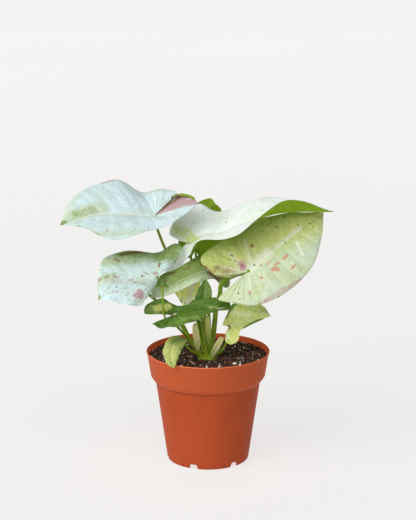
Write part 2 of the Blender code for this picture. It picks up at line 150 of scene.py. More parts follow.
class StageSettings(bpy.types.PropertyGroup):
    floor: colour("Floor", "Floor and backdrop", 240, 238, 237)
    key: number("Key light", "Power of the soft light at the upper left", 172.0, unit="POWER")
    sky: number("Room light", "Strength of the even light from all round", 0.22)
    fill: number("Fill light", "Power of the soft light over the camera", 45.0, unit="POWER")
    glow: number("Backdrop glow", "Light that comes through the backdrop", 0.79)
    distance: length("Camera distance", "From the camera to the point that it looks at", 1421.7 * MM)
    aim: length("Camera aim", "Height that the camera looks at", 174.65 * MM)
    tilt: number("Camera tilt", "Angle that the camera looks down at", math.radians(13.57), subtype="ANGLE")
    lens: number("Lens", "Focal length in millimetres", 116.8)


class PlantSettings(bpy.types.PropertyGroup):
    pot: PointerProperty(type=PotSettings, name="Pot", description="The pot")
    soil: PointerProperty(type=SoilSettings, name="Soil", description="The potting mix")
    leaf: PointerProperty(type=LeafSettings, name="Leaves", description="The leaves")
    stem: PointerProperty(type=StemSettings, name="Stems", description="Crown, petioles and sheaths")
    stage: PointerProperty(type=StageSettings, name="Stage", description="Floor, lights and camera")


def settings():
    return bpy.context.scene.syngonium


# The plant, as in the model.

# The crown: its middle, its radius, and how far it stands above the mix and reaches below it.
CROWN, CROWN_R, CROWN_H, CROWN_ROOT = (0.0, -8.0), 8.6, 7.5, 14.0

# Where along the midrib each rib starts, from 0 at the junction to 1 at the tip.
LOBED = (0.0, 0.0, 0.0, 0.0, 0.22, 0.5, 0.8, 1.0)
PLAIN = (0.0, 0.2, 0.5, 0.8, 1.0)

# Each blade: its junction with the petiole, its midrib to the tip, and the margin on its left and
# right hand as seen along the midrib from above. A lobed margin runs from the inner side of the
# basal lobe round its end and shoulder to the taper; a plain one starts at the shoulder. cup is how
# far the blade bows up between midrib and margin, as a share of the rib. slot names the leaf's
# finish and is not used. curls are rolled hems: side, first and last rib, radius and how much width is
# rolled up.
BLADES = {
    "leaf_upper_left": dict(
        junction=(-45, 4, 210), midrib=[(-67, 1, 214), (-94, -5, 215), (-123, -12, 208)],
        left=[(-33, 27, 221), (-19.5, 21, 225.5), (-8.5, 5, 225), (-22, -12, 214.5),
              (-48, -27, 206), (-78, -36, 201), (-103, -24, 208)],
        right=[(-34.5, 17, 219.5), (-26.5, 29, 226), (-38, 34, 229), (-56, 34, 226),
               (-79, 28, 238), (-100, 14, 234), (-115, -1, 226)],
        roots=LOBED, cup=0.03, slot="mint", curls=[("left", 0.05, 2.15, 1.7, 6.8)]),
    "leaf_upper_right": dict(
        junction=(-17, 2, 189),
        midrib=[(-4, 0, 197), (15, -3, 200), (36, -6, 210), (64, -4, 217), (106, 2, 216)],
        left=[(-25, 10, 189), (-33, 22, 193), (-26, 32, 203), (-8, 38, 215),
              (12, 36, 209), (46, 28, 223), (83, 13, 221)],
        right=[(-33, 8.5, 171), (-36, 11, 161.5), (-24, 8, 166.5), (-16.5, -6, 179.5),
               (-5, -26, 198), (25, -35, 205), (63, -22, 231)],
        roots=LOBED, cup=0.05, slot="mint"),
    "leaf_right": dict(
        junction=(33, -22, 170), midrib=[(53, -12, 185), (77, -1, 202), (98, 12, 214)],
        left=[(18, -21, 164), (6, -20, 166), (-6, -13, 179), (10, -8, 193),
              (29, 3, 204), (59, 6, 213), (80, 9, 214)],
        right=[(11, -32, 153), (9, -37, 149.5), (21, -40, 148), (39, -43, 147),
               (63, -37, 155), (86, -20, 173), (95, -4, 195)],
        roots=LOBED, cup=0.06, slot="lime"),
    "leaf_left": dict(
        junction=(-42, -22, 166), midrib=[(-66, -31, 164), (-86, -36, 166), (-90, -42, 151)],
        left=[(-43, -29, 161), (-51, -45, 152), (-56, -52, 149), (-65, -57, 151),
              (-76, -57, 154), (-84, -52, 153), (-88, -46, 154)],
        right=[(-31, -14, 172), (-21, -3, 183), (-27, 1, 189), (-43, 3, 181),
               (-70, 1, 182), (-87, -10, 178), (-91, -26, 168)],
        roots=LOBED, cup=0.05, slot="mint"),
    "leaf_middle": dict(
        junction=(-2, -4, 167), midrib=[(-15, -9, 163), (-32, -16, 156), (-48, -22, 147)],
        left=[(16, 4, 160), (19, 2, 154.5), (15, -2, 151), (5, -7, 160),
              (-8, -17, 160), (-23, -21, 154), (-36, -23, 149)],
        right=[(4, 4, 171), (5, 9, 175), (-3, 8, 178), (-13, 3, 175),
               (-24.5, -3, 169), (-38, -9, 164.5), (-46, -17, 155)],
        roots=LOBED, cup=0.05, slot="lime"),
    "leaf_back": dict(
        junction=(-11, 52, 171), midrib=[(-7, 48, 192), (0, 44, 209), (7, 42, 214)],
        left=[(-7, 52, 163), (-3, 52, 162), (4, 51, 166), (11, 49, 175),
              (11, 46, 190), (12, 44, 202), (11, 42.5, 210)],
        right=[(-14, 52, 165), (-18, 52, 164), (-24, 51, 170), (-26, 49, 179),
               (-23, 46, 194), (-12, 46, 212), (1, 43.5, 219)],
        roots=LOBED, cup=0.04, slot="green"),
    "leaf_folded": dict(
        junction=(-28, -38, 137), midrib=[(-20, -37, 143), (-1, -35, 141), (19, -32, 140)],
        left=[(-46.5, -46.5, 141), (-52, -46, 142), (-50, -40, 147), (-38, -33, 149.5),
              (-21, -24, 140), (0, -25, 148.5), (17, -26, 146)],
        right=[(-44, -54.5, 135), (-45, -58, 134.5), (-37, -59.5, 132), (-26, -57, 133),
               (-14, -53, 135), (-2, -46, 139), (11, -37, 141.2)],
        roots=LOBED, cup=0.04, slot="green"),
    "leaf_small_right": dict(
        junction=(18, -16, 121), midrib=[(35, -14, 126), (53, -8, 128)],
        left=[(12, -13, 121.5), (15.5, -6, 128), (21, 1, 136), (27, 4, 138.5),
              (40, 3, 138.5), (46, 0, 135.5), (50.5, -5, 131)],
        right=[(15, -19, 117), (14.5, -24, 111), (19, -27, 108.5), (25, -27, 112),
               (27, -23, 120), (38, -19, 124.5), (46.5, -13.5, 127)],
        roots=LOBED, cup=0.05, slot="lime"),
    "leaf_upright": dict(
        junction=(-4, -16, 134), midrib=[(-4, -15, 148), (-2, -14, 162)],
        left=[(-10, -15, 136), (-12, -15, 142), (-10, -15, 149), (-6, -14, 157)],
        right=[(1, -17, 138), (3, -18, 146), (3, -17, 153), (1, -15, 158)],
        roots=PLAIN, cup=0.08, slot="green"),
    "leaf_young": dict(
        junction=(-16, 4, 161), midrib=[(-17, 1, 147), (-19, -8, 134)],
        left=[(-8, 6, 163), (-6, 3, 155), (-10, -1, 146), (-16, -5, 138)],
        right=[(-24, 6, 163), (-31, 4, 154), (-28, 1, 146), (-23, -4, 139)],
        roots=PLAIN, cup=0.08, slot="cream"),
    "leaf_over_rim": dict(
        junction=(-19, -26, 113), midrib=[(-28, -36, 113), (-31, -45, 105), (-28, -51, 95)],
        left=[(-17, -30, 113), (-20.5, -38, 110), (-23.5, -44, 104.5), (-26, -49, 99.5)],
        right=[(-24, -27, 116), (-32, -33, 116), (-37, -42, 108), (-34, -50, 99)],
        roots=PLAIN, cup=0.08, slot="lime"),
    "leaf_arrow": dict(
        junction=(-38, -47, 165), midrib=[(-38, -46.5, 169), (-39, -46, 173)],
        left=[(-43, -48, 163), (-41, -47.5, 167), (-40, -47, 170)],
        right=[(-32, -49, 163), (-35, -48, 167), (-37, -47, 170)],
        roots=(0.0, 0.3, 0.7, 1.0), cup=0.0, slot="green"),
}

# Petioles: the blade that each one carries, its width at the crown and at the blade, and the points
# that it passes from the crown up. The last stretch, square to the blade, is worked out.
PETIOLES = [
    ("leaf_upper_left", 3.4, 2.2, [(-1, -4, 92), (-9, 6, 122), (-23, 15, 152), (-36, 14, 180),
                                   (-43, 9, 200)]),
    ("leaf_upper_right", 3.8, 2.0, [(-2, -4, 92), (-6, 5, 128), (-11, 12, 158), (-15, 10, 177)]),
    ("leaf_right", 5.6, 3.2, [(1, -9, 92), (5, -6, 116), (7, -6, 135), (10, -6, 146), (12, -8, 157),
                              (24, -13, 165)]),
    ("leaf_left", 3.4, 2.2, [(-5, -9, 92), (-17, -13, 113), (-30, -15, 131), (-44, -11, 142.5),
                             (-52.5, -12, 151), (-49, -16, 158.5)]),
    ("leaf_middle", 3.2, 2.2, [(0, -6, 92), (-2, -3, 117), (-3, -1, 140), (-2, 0, 156)]),
    ("leaf_back", 3.2, 2.2, [(1, -4, 92), (1, 12, 120), (-3, 33, 143), (-9, 46, 158)]),
    ("leaf_folded", 3.2, 2.2, [(-6, -12, 92), (-14.5, -19.5, 110), (-20, -27, 124), (-25, -33, 132)]),
    ("leaf_small_right", 2.8, 1.8, [(4, -11, 93), (11, -14, 99), (16, -15, 108), (18, -15, 116)]),
    ("leaf_upright", 2.6, 1.8, [(-1, -13, 92), (-4, -16, 113), (-5, -14, 127)]),
    ("leaf_young", 3.0, 1.8, [(-3, -4, 92), (-10, 4, 123), (-15, 11, 145), (-17, 11, 157)]),
    ("leaf_over_rim", 2.6, 1.8, [(-5, -12, 93), (-13, -19, 100), (-18, -24, 106)]),
    ("leaf_arrow", 2.6, 1.6, [(-6, -10, 92), (-18.5, -18, 113), (-28, -27.5, 126), (-33.5, -40, 132.5),
                              (-36, -43.6, 138.5), (-37, -46.3, 152)]),
]

# Dry sheaths and the young shoot: name, foot, head, the width at the foot, belly and head, finish.
SHEATHS = [
    ("sheath_left", (-8.4, -18.4, 100.5), (-11, -22, 124), (3.0, 5.5, 3.5), "straw"),
    ("sheath_right", (3, -15.3, 94), (11.5, -20, 112), (3.0, 5.0, 3.5), "straw"),
    ("shoot", (0.5, -13, 97.9), (-0.3, -13, 128), (2.5, 5.0, 3.0), "cream"),
]

# How each leaf looks: ground and wash are the two colours that its upper side drifts between, fleck the
# colour of its speckles and mottle how strongly they show, under the colour of its lower side. veins is how
# many side veins run to each margin, quilt how deep they lie, rib and lines how pale the midrib and they
# are, dots how strongly the dark dots show, glow how strongly the blade glows in its own colour, a painted
# light that stands in for light through the blade, pleats how deep it is folded lengthwise in mm and wave
# how strongly it waves. COMMON_LOOK holds what most of them share.
COMMON_LOOK = dict(fleck="moss", under="fresh", rib=0.7, lines=0.4, dots=0.5, glow=0.0, pleats=0.0, wave=1.0)
LOOKS = {
    "leaf_upper_left": dict(ground="mint", wash="sage", fleck="slate", mottle=0.75, quilt=1.4,
                            veins=15, lines=0.3),
    "leaf_upper_right": dict(ground="milk", wash="sage", fleck="sage", mottle=1.0, quilt=1.1,
                             veins=16, lines=0.4, dots=0.8, glow=0.13),
    "leaf_right": dict(ground="sage", wash="lime", under="moss", mottle=0.55, quilt=2.2, veins=18,
                       lines=0.3, rib=0.4, dots=1.0),
    "leaf_left": dict(ground="mint", wash="sage", under="moss", mottle=1.0, quilt=1.1, veins=16,
                      dots=1.0, rib=0.5),
    "leaf_middle": dict(ground="sage", wash="moss", under="moss", mottle=1.0, quilt=0.8, veins=16,
                        lines=0.2, dots=0.8),
    "leaf_back": dict(ground="sage", wash="fresh", mottle=0.40, quilt=0.8, veins=14),
    "leaf_folded": dict(ground="deep", wash="moss", mottle=0.4, quilt=1.8, veins=11,
                        lines=0.12, rib=0.1, wave=1.8),
    "leaf_small_right": dict(ground="lime", wash="sage", mottle=0.7, quilt=1.2,
                             veins=9, lines=0.35, glow=0.27),
    "leaf_upright": dict(ground="deep", wash="moss", mottle=0.5, quilt=1.2, veins=9,
                         lines=0.1, rib=0.3),
    "leaf_young": dict(ground="gold", wash="gold", fleck="lime", under="gold", mottle=0.3, quilt=0.8, veins=7,
                       lines=0.1, glow=0.1, pleats=0.9),
    "leaf_over_rim": dict(ground="lime", wash="moss", mottle=0.9, quilt=0.4,
                          veins=8, lines=0.15, rib=0.4),
    "leaf_arrow": dict(ground="deep", wash="deep", under="deep", mottle=0.20, quilt=0.2, veins=6),
}

# Marks on a blade, by kind: the places where each starts and ends, its half width in mm and its strength.
# A place is the number of the rib along the margin, and from -1 at the left margin over 0 at the midrib
# to 1 at the right margin.
MARKS = {
    "leaf_upper_left": {
        "wash": [(6.4, 0.35, 5.1, 0.2, 8, 0.9), (4.2, -0.95, 5.4, -0.95, 5, 0.7),
            (3, 0.95, 2, 0.95, 4, 0.6), (6.6, 0.9, 5.6, 0.97, 4, 0.6)],
        "moss": [(6.1, 0.3, 5.4, 0.15, 5, 0.5), (6.95, 0.3, 6.75, 0, 3, 1), (5.4, -1, 6.2, -1, 1.6, 0.6)],
        "blush": [(0.5, -0.3, 1.3, -0.95, 7.5, 1), (1.2, -0.3, 2, -0.9, 6, 1),
            (5.17, -0.75, 5.1, -0.7, 1.3, 0.6), (4, 0.99, 4.5, 1, 1.8, 0.6)],
        # On this leaf the broad rust mark on the left lobe by the junction browns the pink pocket: painted
        # shade where the far lobe's edge shades it.
        "rust": [(0.35, -0.35, 0.8, -0.8, 3.6, 0.9), (0.2, 0.2, 0.6, 1, 1.1, 1)],
    },
    "leaf_upper_right": {
        "lime": [(1.6, -0.75, 2.8, -0.2, 8, 0.52), (2.9, -0.1, 3.6, 0.5, 7, 0.65),
            (1.2, -0.4, 1.8, -0.2, 5, 0.4), (3.6, 0.6, 4.4, 0.7, 5, 0.35)],
        "moss": [(3.1, 0.1, 3.5, 0.4, 4, 0.4)],
        "wash": [(1.6, -0.6, 3.2, 0.2, 9, 0.5)],
    },
    "leaf_right": {
        "wash": [(2.3, -0.85, 5.9, -0.6, 24, 1), (1.9, -0.75, 0.6, -0.65, 18, 0.65)],
        "moss": [(3.4, -0.97, 5.5, -0.97, 5, 0.35), (2.4, -0.9, 0.9, -0.7, 16, 0.4),
            (0.3, -0.5, 0.5, -1, 3.5, 0.6)],
        "rust": [(1.6, -0.7, 1, -0.5, 6, 0.5), (0.5, -1, 1.6, -1, 1.6, 0.7),
            (2.9, -0.18, 2.9, -0.18, 2.6, 0.6), (3.83, -0.4, 3.83, -0.42, 1.6, 0.9),
            (4.6, -0.7, 4.7, -0.75, 0.9, 0.8), (2.6, -0.45, 2.6, -0.45, 1.1, 0.7),
            (3.6, -0.25, 3.6, -0.25, 0.9, 0.7)],
        "blush": [(3, -0.22, 2.8, -0.14, 3.6, 1), (2.83, 0.63, 2.83, 0.7, 1.4, 0.8),
            (2.25, 0.85, 2.25, 0.88, 1.1, 0.7), (4.6, 1, 3.2, 1, 3.2, 0.6)],
        "coral": [(4.05, 0.38, 4.15, 0.46, 2.4, 1), (4.15, 0.36, 4.3, 0.36, 1.6, 0.8),
            (4.5, 0.33, 4.65, 0.33, 1.5, 0.9), (4.5, 0.65, 4.66, 0.65, 1.4, 0.8),
            (3.67, 0.1, 3.7, 0.1, 1.4, 0.8), (3.5, 0.38, 3.5, 0.42, 1.4, 0.9),
            (3.75, 0.45, 3.75, 0.47, 1.1, 0.8), (4.9, 0.5, 4.95, 0.5, 1, 0.8),
            (3.95, 0.18, 4.1, 0.18, 1.2, 0.8), (3.2, 0.25, 3.2, 0.25, 1, 0.8)],
        "deep": [(4.85, -0.5, 4.8, -0.56, 0.8, 0.8), (5.33, -0.5, 5.3, -0.55, 0.8, 0.8),
            (5.58, -0.2, 5.56, -0.25, 0.8, 0.7), (4.92, 0.05, 4.9, 0, 0.9, 0.7),
            (5.67, 0.15, 5.64, 0.12, 0.7, 0.7), (6, 0.3, 5.97, 0.35, 0.8, 0.8),
            (4.42, -0.55, 4.36, -0.62, 0.9, 0.7), (2.92, -0.5, 2.88, -0.55, 1, 0.8),
            (2.75, -0.35, 2.7, -0.38, 0.9, 0.8), (5.05, -0.15, 5.02, -0.2, 0.8, 0.7),
            (4.1, -0.75, 4.05, -0.8, 0.8, 0.7), (5.2, -0.8, 5.15, -0.85, 0.7, 0.7)],
        # The two short pale streaks at ribs 5.1 and 4.6, across 0.3 to 0.8, are painted highlights.
        "pale": [(3, 0, 4.2, 0, 5.5, 0.8), (4.6, 0, 5.6, 0, 3, 0.6), (5.15, 0.28, 5.05, 0.62, 1.3, 1),
            (4.62, 0.5, 4.62, 0.8, 1, 0.7), (2.9, 0.05, 2.8, 0.6, 2, 0.55), (3.4, 0.1, 3.6, 0.7, 1.8, 0.55),
            (3.3, -0.05, 3.7, -0.6, 2.2, 0.52), (2.6, -0.1, 2.9, -0.6, 2, 0.5),
            (1.6, -0.2, 1.6, -0.6, 1.8, 0.5), (0.9, -0.2, 0.9, -0.7, 1.6, 0.5)],
    },
    "leaf_left": {
        "moss": [(4.2, 0.95, 1.7, 0.95, 8, 0.8), (2.9, 0.8, 1.9, 0.6, 10, 0.8),
            (1.9, 0.9, 1.4, 0.6, 9, 0.7), (5.2, 0.2, 5.9, 0.35, 3.5, 0.5),
            (4, -0.25, 3.2, -0.35, 3.5, 0.45), (6.4, -1, 6.9, 0, 3.5, 1)],
        "wash": [(5, 0.85, 2.2, 0.75, 8, 0.9), (5.4, 0.1, 6.4, 0.5, 6, 0.8),
            (1.9, -0.9, 2.6, -0.9, 3, 0.6)],
        "blush": [(2.5, -0.74, 3, -0.6, 3.2, 1), (3.05, -0.72, 2.8, -0.66, 3, 1),
            (4.6, 0.03, 4.4, 0.03, 1.3, 0.8), (3.9, 0.06, 3.8, 0.06, 1.2, 0.8),
            (5.92, 0.3, 5.9, 0.25, 1.6, 0.9), (5.2, 0.15, 5.1, 0.14, 1.1, 0.7),
            (4.5, -0.65, 4.45, -0.6, 1.3, 0.9), (4.3, -0.35, 4.3, -0.33, 1, 0.8),
            (3.2, 0.12, 3.1, 0.1, 1.6, 0.9), (3.6, -0.2, 5.4, 0.1, 9, 0.3),
            (3.4, -0.6, 4.6, -0.7, 6, 0.25)],
        "rust": [(4.2, 0.88, 3.3, 0.99, 2, 1), (4.6, 0.8, 4.5, 0.66, 1.2, 0.8),
            (3.7, 0.2, 3.5, 0.1, 0.9, 0.7), (2.8, 0.45, 2.75, 0.3, 1, 0.9)],
    },
    "leaf_middle": {
        "wash": [(4.8, 0.9, 2.8, 0.8, 10, 1), (5.4, 0.45, 2.6, 0.3, 9, 0.9)],
        "moss": [(4.9, 0.95, 3, 0.95, 5, 0.9), (4.2, 0.3, 2, 0.3, 4, 0.5), (1.5, -0.95, 1.2, -0.8, 5, 1),
            (4.8, 1, 4.6, 0.98, 3.4, 1), (3.3, 1, 2.9, 0.98, 3.4, 1)],
        "rust": [(4.83, 0.75, 4.5, 0.7, 1.6, 0.62), (4, 0.6, 3.6, 0.6, 1.5, 0.6),
            (4.6, 0.35, 4.4, 0.35, 1.2, 0.6), (3.1, 0.35, 2.9, 0.35, 1.3, 0.6),
            (5.4, 0.5, 5.3, 0.5, 1.3, 0.9), (1.2, -0.2, 1.3, -0.5, 5, 0.9)],
    },
    "leaf_folded": {
        "pale": [(3, 0, 6.4, 0, 1.6, 1)],
        "moss": [(3, 0.5, 6, 0.5, 3, 0.4)],
        "lime": [(2.9, -0.5, 1.8, -0.6, 4.5, 0.75), (1.5, -0.5, 0.8, -0.6, 3, 0.5),
            (2.5, -0.6, 1.6, -0.9, 4, 0.42), (5.3, -0.2, 5.7, -0.2, 2.6, 0.42), (0.2, 1, 3, 1, 1, 0.5)],
        "wash": [(2.5, 0.75, 4.5, 0.8, 2.6, 0.6)],
        "rust": [(0, 0, 0.2, 0.1, 2, 0.6)],
    },
    "leaf_small_right": {
        "deep": [(1, -0.95, 2.4, -1, 4, 0.8), (4.4, 1, 5.8, 1, 1.8, 0.9)],
        "moss": [(3.4, -0.95, 6, -0.95, 4, 0.5), (3, -0.75, 5.2, -0.5, 3, 0.45),
            (0.6, 0.8, 1.8, 0.9, 1.6, 0.5)],
        "rust": [(0.2, -0.1, 1.5, 0.1, 1.6, 0.8)],
        "pale": [(2.6, -0.5, 4.4, -0.3, 3, 0.45), (1, 0.5, 1.6, 0.7, 2, 0.5)],
    },
    # The young leaf's moss and pale stripes are partly its own streaks and partly the painted shade and
    # highlight of its pleats; the wide pale band at -0.6 is partly paler tissue and partly a painted
    # highlight.
    "leaf_young": {
        "moss": [(0.1, -0.86, 3.2, -0.86, 0.9, 0.9), (0.1, -0.29, 3.4, -0.29, 0.9, 0.9),
            (0.1, 0.29, 3.4, 0.29, 0.9, 0.9), (0.1, 0.86, 3, 0.86, 0.9, 0.8)],
        "pale": [(0.2, -0.6, 3.2, -0.6, 2.4, 1), (0.2, 0.57, 3, 0.57, 1.3, 1), (1.4, 0, 3.4, 0, 1, 0.8)],
    },
    "leaf_upright": {
        "wash": [(1, 0.3, 2.6, 0.3, 3, 0.5)],
    },
    "leaf_over_rim": {
        "moss": [(0, 0, 1.4, 0.2, 5, 0.7), (1, -0.8, 2.6, -0.9, 2, 0.5)],
    },
}


# Shared shader node groups.


class Bench:
    """Adds nodes to one tree and wires them, so that a material reads from top to bottom."""

    def __init__(self, tree):
        self.tree = tree

    def node(self, kind, **inputs):
        made = self.tree.nodes.new(kind if kind.startswith("NodeGroup") else "ShaderNode" + kind)
        for name, value in inputs.items():
            self.feed(made.inputs[name.replace("_", " ")], value)
        return made

    def feed(self, socket, value):
        if isinstance(value, bpy.types.NodeSocket):
            self.tree.links.new(value, socket)
        else:
            socket.default_value = (*value, 1.0) if socket.type == "RGBA" and len(value) == 3 else value

    def calc(self, operation, *numbers):
        made = self.node("Math")
        made.operation = operation
        for socket, value in zip(made.inputs, numbers):
            self.feed(socket, value)
        return made.outputs[0]

    def times(self, a, b):
        return self.calc("MULTIPLY", a, b)

    def plus(self, a, b):
        return self.calc("ADD", a, b)

    def minus(self, a, b):
        return self.calc("SUBTRACT", a, b)

    def blend(self, share, under, over, how="MIX"):
        made = self.node("Mix")
        made.data_type = "RGBA"
        made.blend_type = how
        self.feed(made.inputs["Factor"], share)
        self.feed(made.inputs[6], under)
        self.feed(made.inputs[7], over)
        return made.outputs[2]

    def fade(self, value, low, high, bottom=0.0, top=1.0):
        """Value runs smoothly from bottom at low to top at high."""
        made = self.node("MapRange", Value=value)
        made.interpolation_type = "SMOOTHSTEP"
        for name, end in (("From Min", low), ("From Max", high), ("To Min", bottom), ("To Max", top)):
            self.feed(made.inputs[name], end)
        return made.outputs["Result"]

    def speckle(self, where, scale, detail, rough=0.55, seed=0.0):
        """Noise from 0 to 1."""
        made = self.node("TexNoise", Vector=where, Scale=scale, Detail=detail, Roughness=rough)
        made.noise_dimensions = "4D"
        self.feed(made.inputs["W"], seed)
        return made.outputs["Fac"]

    def cells(self, where, scale, feature="F1"):
        made = self.node("TexVoronoi", Vector=where, Scale=scale)
        made.feature = feature
        return made.outputs["Distance"]

    def mask(self, name):
        made = self.node("Attribute")
        made.attribute_name = name
        return made.outputs["Fac"]

    def place(self):
        return self.node("TexCoord").outputs["Object"]

    def sheet(self):
        return self.node("UVMap").outputs["UV"]

    def axis(self, vector, letter):
        return self.node("SeparateXYZ", Vector=vector).outputs[letter]

    def stretched(self, sheet, x, y):
        split = self.node("SeparateXYZ", Vector=sheet).outputs
        return self.node("CombineXYZ", X=self.times(split["X"], x), Y=self.times(split["Y"], y)).outputs[0]

    def group(self, name, **inputs):
        made = self.node("Group")
        made.node_tree = bpy.data.node_groups[name]
        for socket, value in inputs.items():
            self.feed(made.inputs[socket.replace("_", " ")], value)
        return made

    def bump(self, height, strength, distance):
        return self.node("Bump", Height=height, Strength=strength, Distance=distance).outputs["Normal"]


def new_group(name, inputs, outputs):
    """An empty group: inputs are numbers with a default, or vectors without. Gives its bench, in and out."""
    tree = bpy.data.node_groups.new(name, "ShaderNodeTree")
    for socket, default in inputs.items():
        kind = "NodeSocketVector" if default is None else "NodeSocketFloat"
        made = tree.interface.new_socket(name=socket, in_out="INPUT", socket_type=kind)
        if default is not None:
            made.default_value = default
    for socket in outputs:
        tree.interface.new_socket(name=socket, in_out="OUTPUT", socket_type="NodeSocketFloat")
    bench = Bench(tree)
    return bench, bench.node("NodeGroupInput").outputs, bench.node("NodeGroupOutput").inputs


# Side veins: how far they sweep towards the tip by the margin, how bent they are, and how far those on
# the right hand lie ahead of those on the left.
VEIN_SWEEP, VEIN_BEND, VEIN_SHIFT = 0.6, 1.6, 0.37


def leaf_veins_group():
    """Masks of a leaf's midrib, side veins, the panels between them and its fine net."""
    bench, given, out = new_group("Leaf veins", {"Sheet": None, "Side veins": 20.0, "Sweep": VEIN_SWEEP},
                                  ("Midrib", "Side veins", "Panel", "Net"))
    split = bench.node("SeparateXYZ", Vector=given["Sheet"]).outputs
    signed = bench.minus(split["X"], 0.5)
    across = bench.times(bench.calc("ABSOLUTE", signed), 2.0)
    bench.feed(out["Midrib"], bench.fade(across, 0.0, 0.05, 1.0, 0.0))
    wander = bench.speckle(given["Sheet"], 7.0, 3.0, 0.5, 1.7)
    along = bench.times(split["Y"], given["Side veins"])
    swept = bench.minus(along, bench.times(bench.calc("POWER", across, VEIN_BEND), given["Sweep"]))
    shifted = bench.plus(swept, bench.times(bench.calc("GREATER_THAN", signed, 0.0), VEIN_SHIFT))
    wavy = bench.plus(shifted, bench.times(bench.minus(wander, 0.5), 0.35))
    from_vein = bench.calc("ABSOLUTE", bench.minus(bench.calc("FRACT", wavy), 0.5))
    near = bench.fade(from_vein, 0.0, 0.10, 1.0, 0.0)
    ends = bench.times(bench.fade(across, 0.0, 0.12), bench.fade(across, 0.55, 1.0, 1.0, 0.1))
    patchy = bench.fade(bench.speckle(given["Sheet"], 11.0, 2.0, 0.5, 8.1), 0.3, 0.65, 0.25, 1.0)
    bench.feed(out["Side veins"], bench.times(near, bench.times(ends, patchy)))
    bench.feed(out["Panel"], bench.fade(from_vein, 0.08, 0.45))
    net = bench.cells(bench.place(), 520.0, "DISTANCE_TO_EDGE")
    bench.feed(out["Net"], bench.fade(net, 0.0, 0.09, 1.0, 0.0))


def leaf_mottling_group():
    """Masks of a leaf's marbling: drifts, cloudy speckles, dots and flecks drawn out along the veins."""
    bench, given, out = new_group("Leaf mottling", {"Place": None, "Sheet": None, "Seed": 0.0},
                                  ("Drift", "Speckle", "Flecks", "Dots", "Grain"))
    place, seed = given["Place"], given["Seed"]

    def cloud(scale, detail, rough, low, high, bottom=0.0):
        return bench.fade(bench.speckle(place, scale, detail, rough, seed), low, high, bottom)

    bench.feed(out["Drift"], cloud(45.0, 3.0, 0.55, 0.40, 0.66))
    fine, broad = cloud(620.0, 4.0, 0.66, 0.46, 0.64), cloud(90.0, 3.0, 0.6, 0.36, 0.62, 0.15)
    bench.feed(out["Speckle"], bench.times(fine, broad))
    drawn = bench.stretched(given["Sheet"], 22.0, 90.0)
    fleck = bench.fade(bench.speckle(drawn, 1.0, 2.0, 0.6, seed), 0.60, 0.70)
    bench.feed(out["Flecks"], bench.times(fleck, cloud(110.0, 2.0, 0.5, 0.42, 0.60)))
    shaken = bench.node("TexNoise", Vector=place, Scale=400.0, Detail=2.0).outputs["Color"]
    dot = bench.node("TexVoronoi", Vector=bench.blend(0.0025, place, shaken, "ADD"), Scale=150.0).outputs
    chosen = bench.node("SeparateColor", Color=dot["Color"]).outputs[0]
    size = bench.fade(chosen, 0.5, 1.0, 0.0, 0.17)
    bench.feed(out["Dots"], bench.fade(bench.minus(size, dot["Distance"]), 0.0, 0.05))
    bench.feed(out["Grain"], bench.speckle(place, 1500.0, 2.0, 0.6, seed))


def blotch_group():
    """A soft painted mask, given the ragged edge that a blotch on a leaf has."""
    bench, given, out = new_group(
        "Blotch", {"Place": None, "Mask": 0.0, "Ragged": 0.5, "Soft": 0.4, "Seed": 0.0}, ("Blotch",))
    ragged = bench.minus(bench.speckle(given["Place"], 300.0, 4.0, 0.65, given["Seed"]), 0.5)
    edge = bench.plus(bench.times(ragged, given["Ragged"]), given["Mask"])
    low = bench.minus(0.5, given["Soft"])
    high = bench.plus(0.5, given["Soft"])
    inside = bench.fade(given["Mask"], 0.02, 0.12)
    bench.feed(out["Blotch"], bench.times(bench.fade(edge, low, high), inside))


def fibres_group():
    """Fine lengthwise streaks of a petiole or sheath, from its sheet coordinates."""
    bench, given, out = new_group("Fibres", {"Sheet": None, "Around": 40.0, "Along": 3.0},
                                  ("Streaks", "Patches"))
    drawn = bench.stretched(given["Sheet"], given["Around"], given["Along"])
    bench.feed(out["Streaks"], bench.speckle(drawn, 1.0, 3.0, 0.6, 0.4))
    patches = bench.speckle(bench.place(), 160.0, 3.0, 0.6, 2.2)
    bench.feed(out["Patches"], bench.fade(patches, 0.4, 0.65))


def build_groups():
    leaf_veins_group()
    leaf_mottling_group()
    blotch_group()
    fibres_group()


# Materials.


def fresh_material(name):
    mat = bpy.data.materials.new(name)
    mat.use_nodes = True
    bench = Bench(mat.node_tree)
    return mat, bench, mat.node_tree.nodes["Principled BSDF"].inputs


def wire(bench, shader, tone, rough, bump, specular=0.5, glow=None):
    """Wires a material's colour, roughness (what fade takes), bump (what bump takes) and its own light."""
    bench.feed(shader["Base Color"], tone)
    bench.feed(shader["Roughness"], bench.fade(*rough))
    if bump:
        bench.feed(shader["Normal"], bench.bump(*bump))
    shader["Specular IOR Level"].default_value = specular
    if glow:
        bench.feed(shader["Emission Color"], glow[0])
        shader["Emission Strength"].default_value = glow[1]


def leaf_side(name, look, seed):
    """What both sides of a leaf start from: material, bench, shader, place, veins and mottling."""
    mat, bench, shader = fresh_material(name)
    place, sheet = bench.place(), bench.sheet()
    veins = bench.group("Leaf veins", Sheet=sheet, Side_veins=float(look["veins"])).outputs
    mottle = bench.group("Leaf mottling", Place=place, Sheet=sheet, Seed=seed).outputs
    return mat, bench, shader, place, veins, mottle


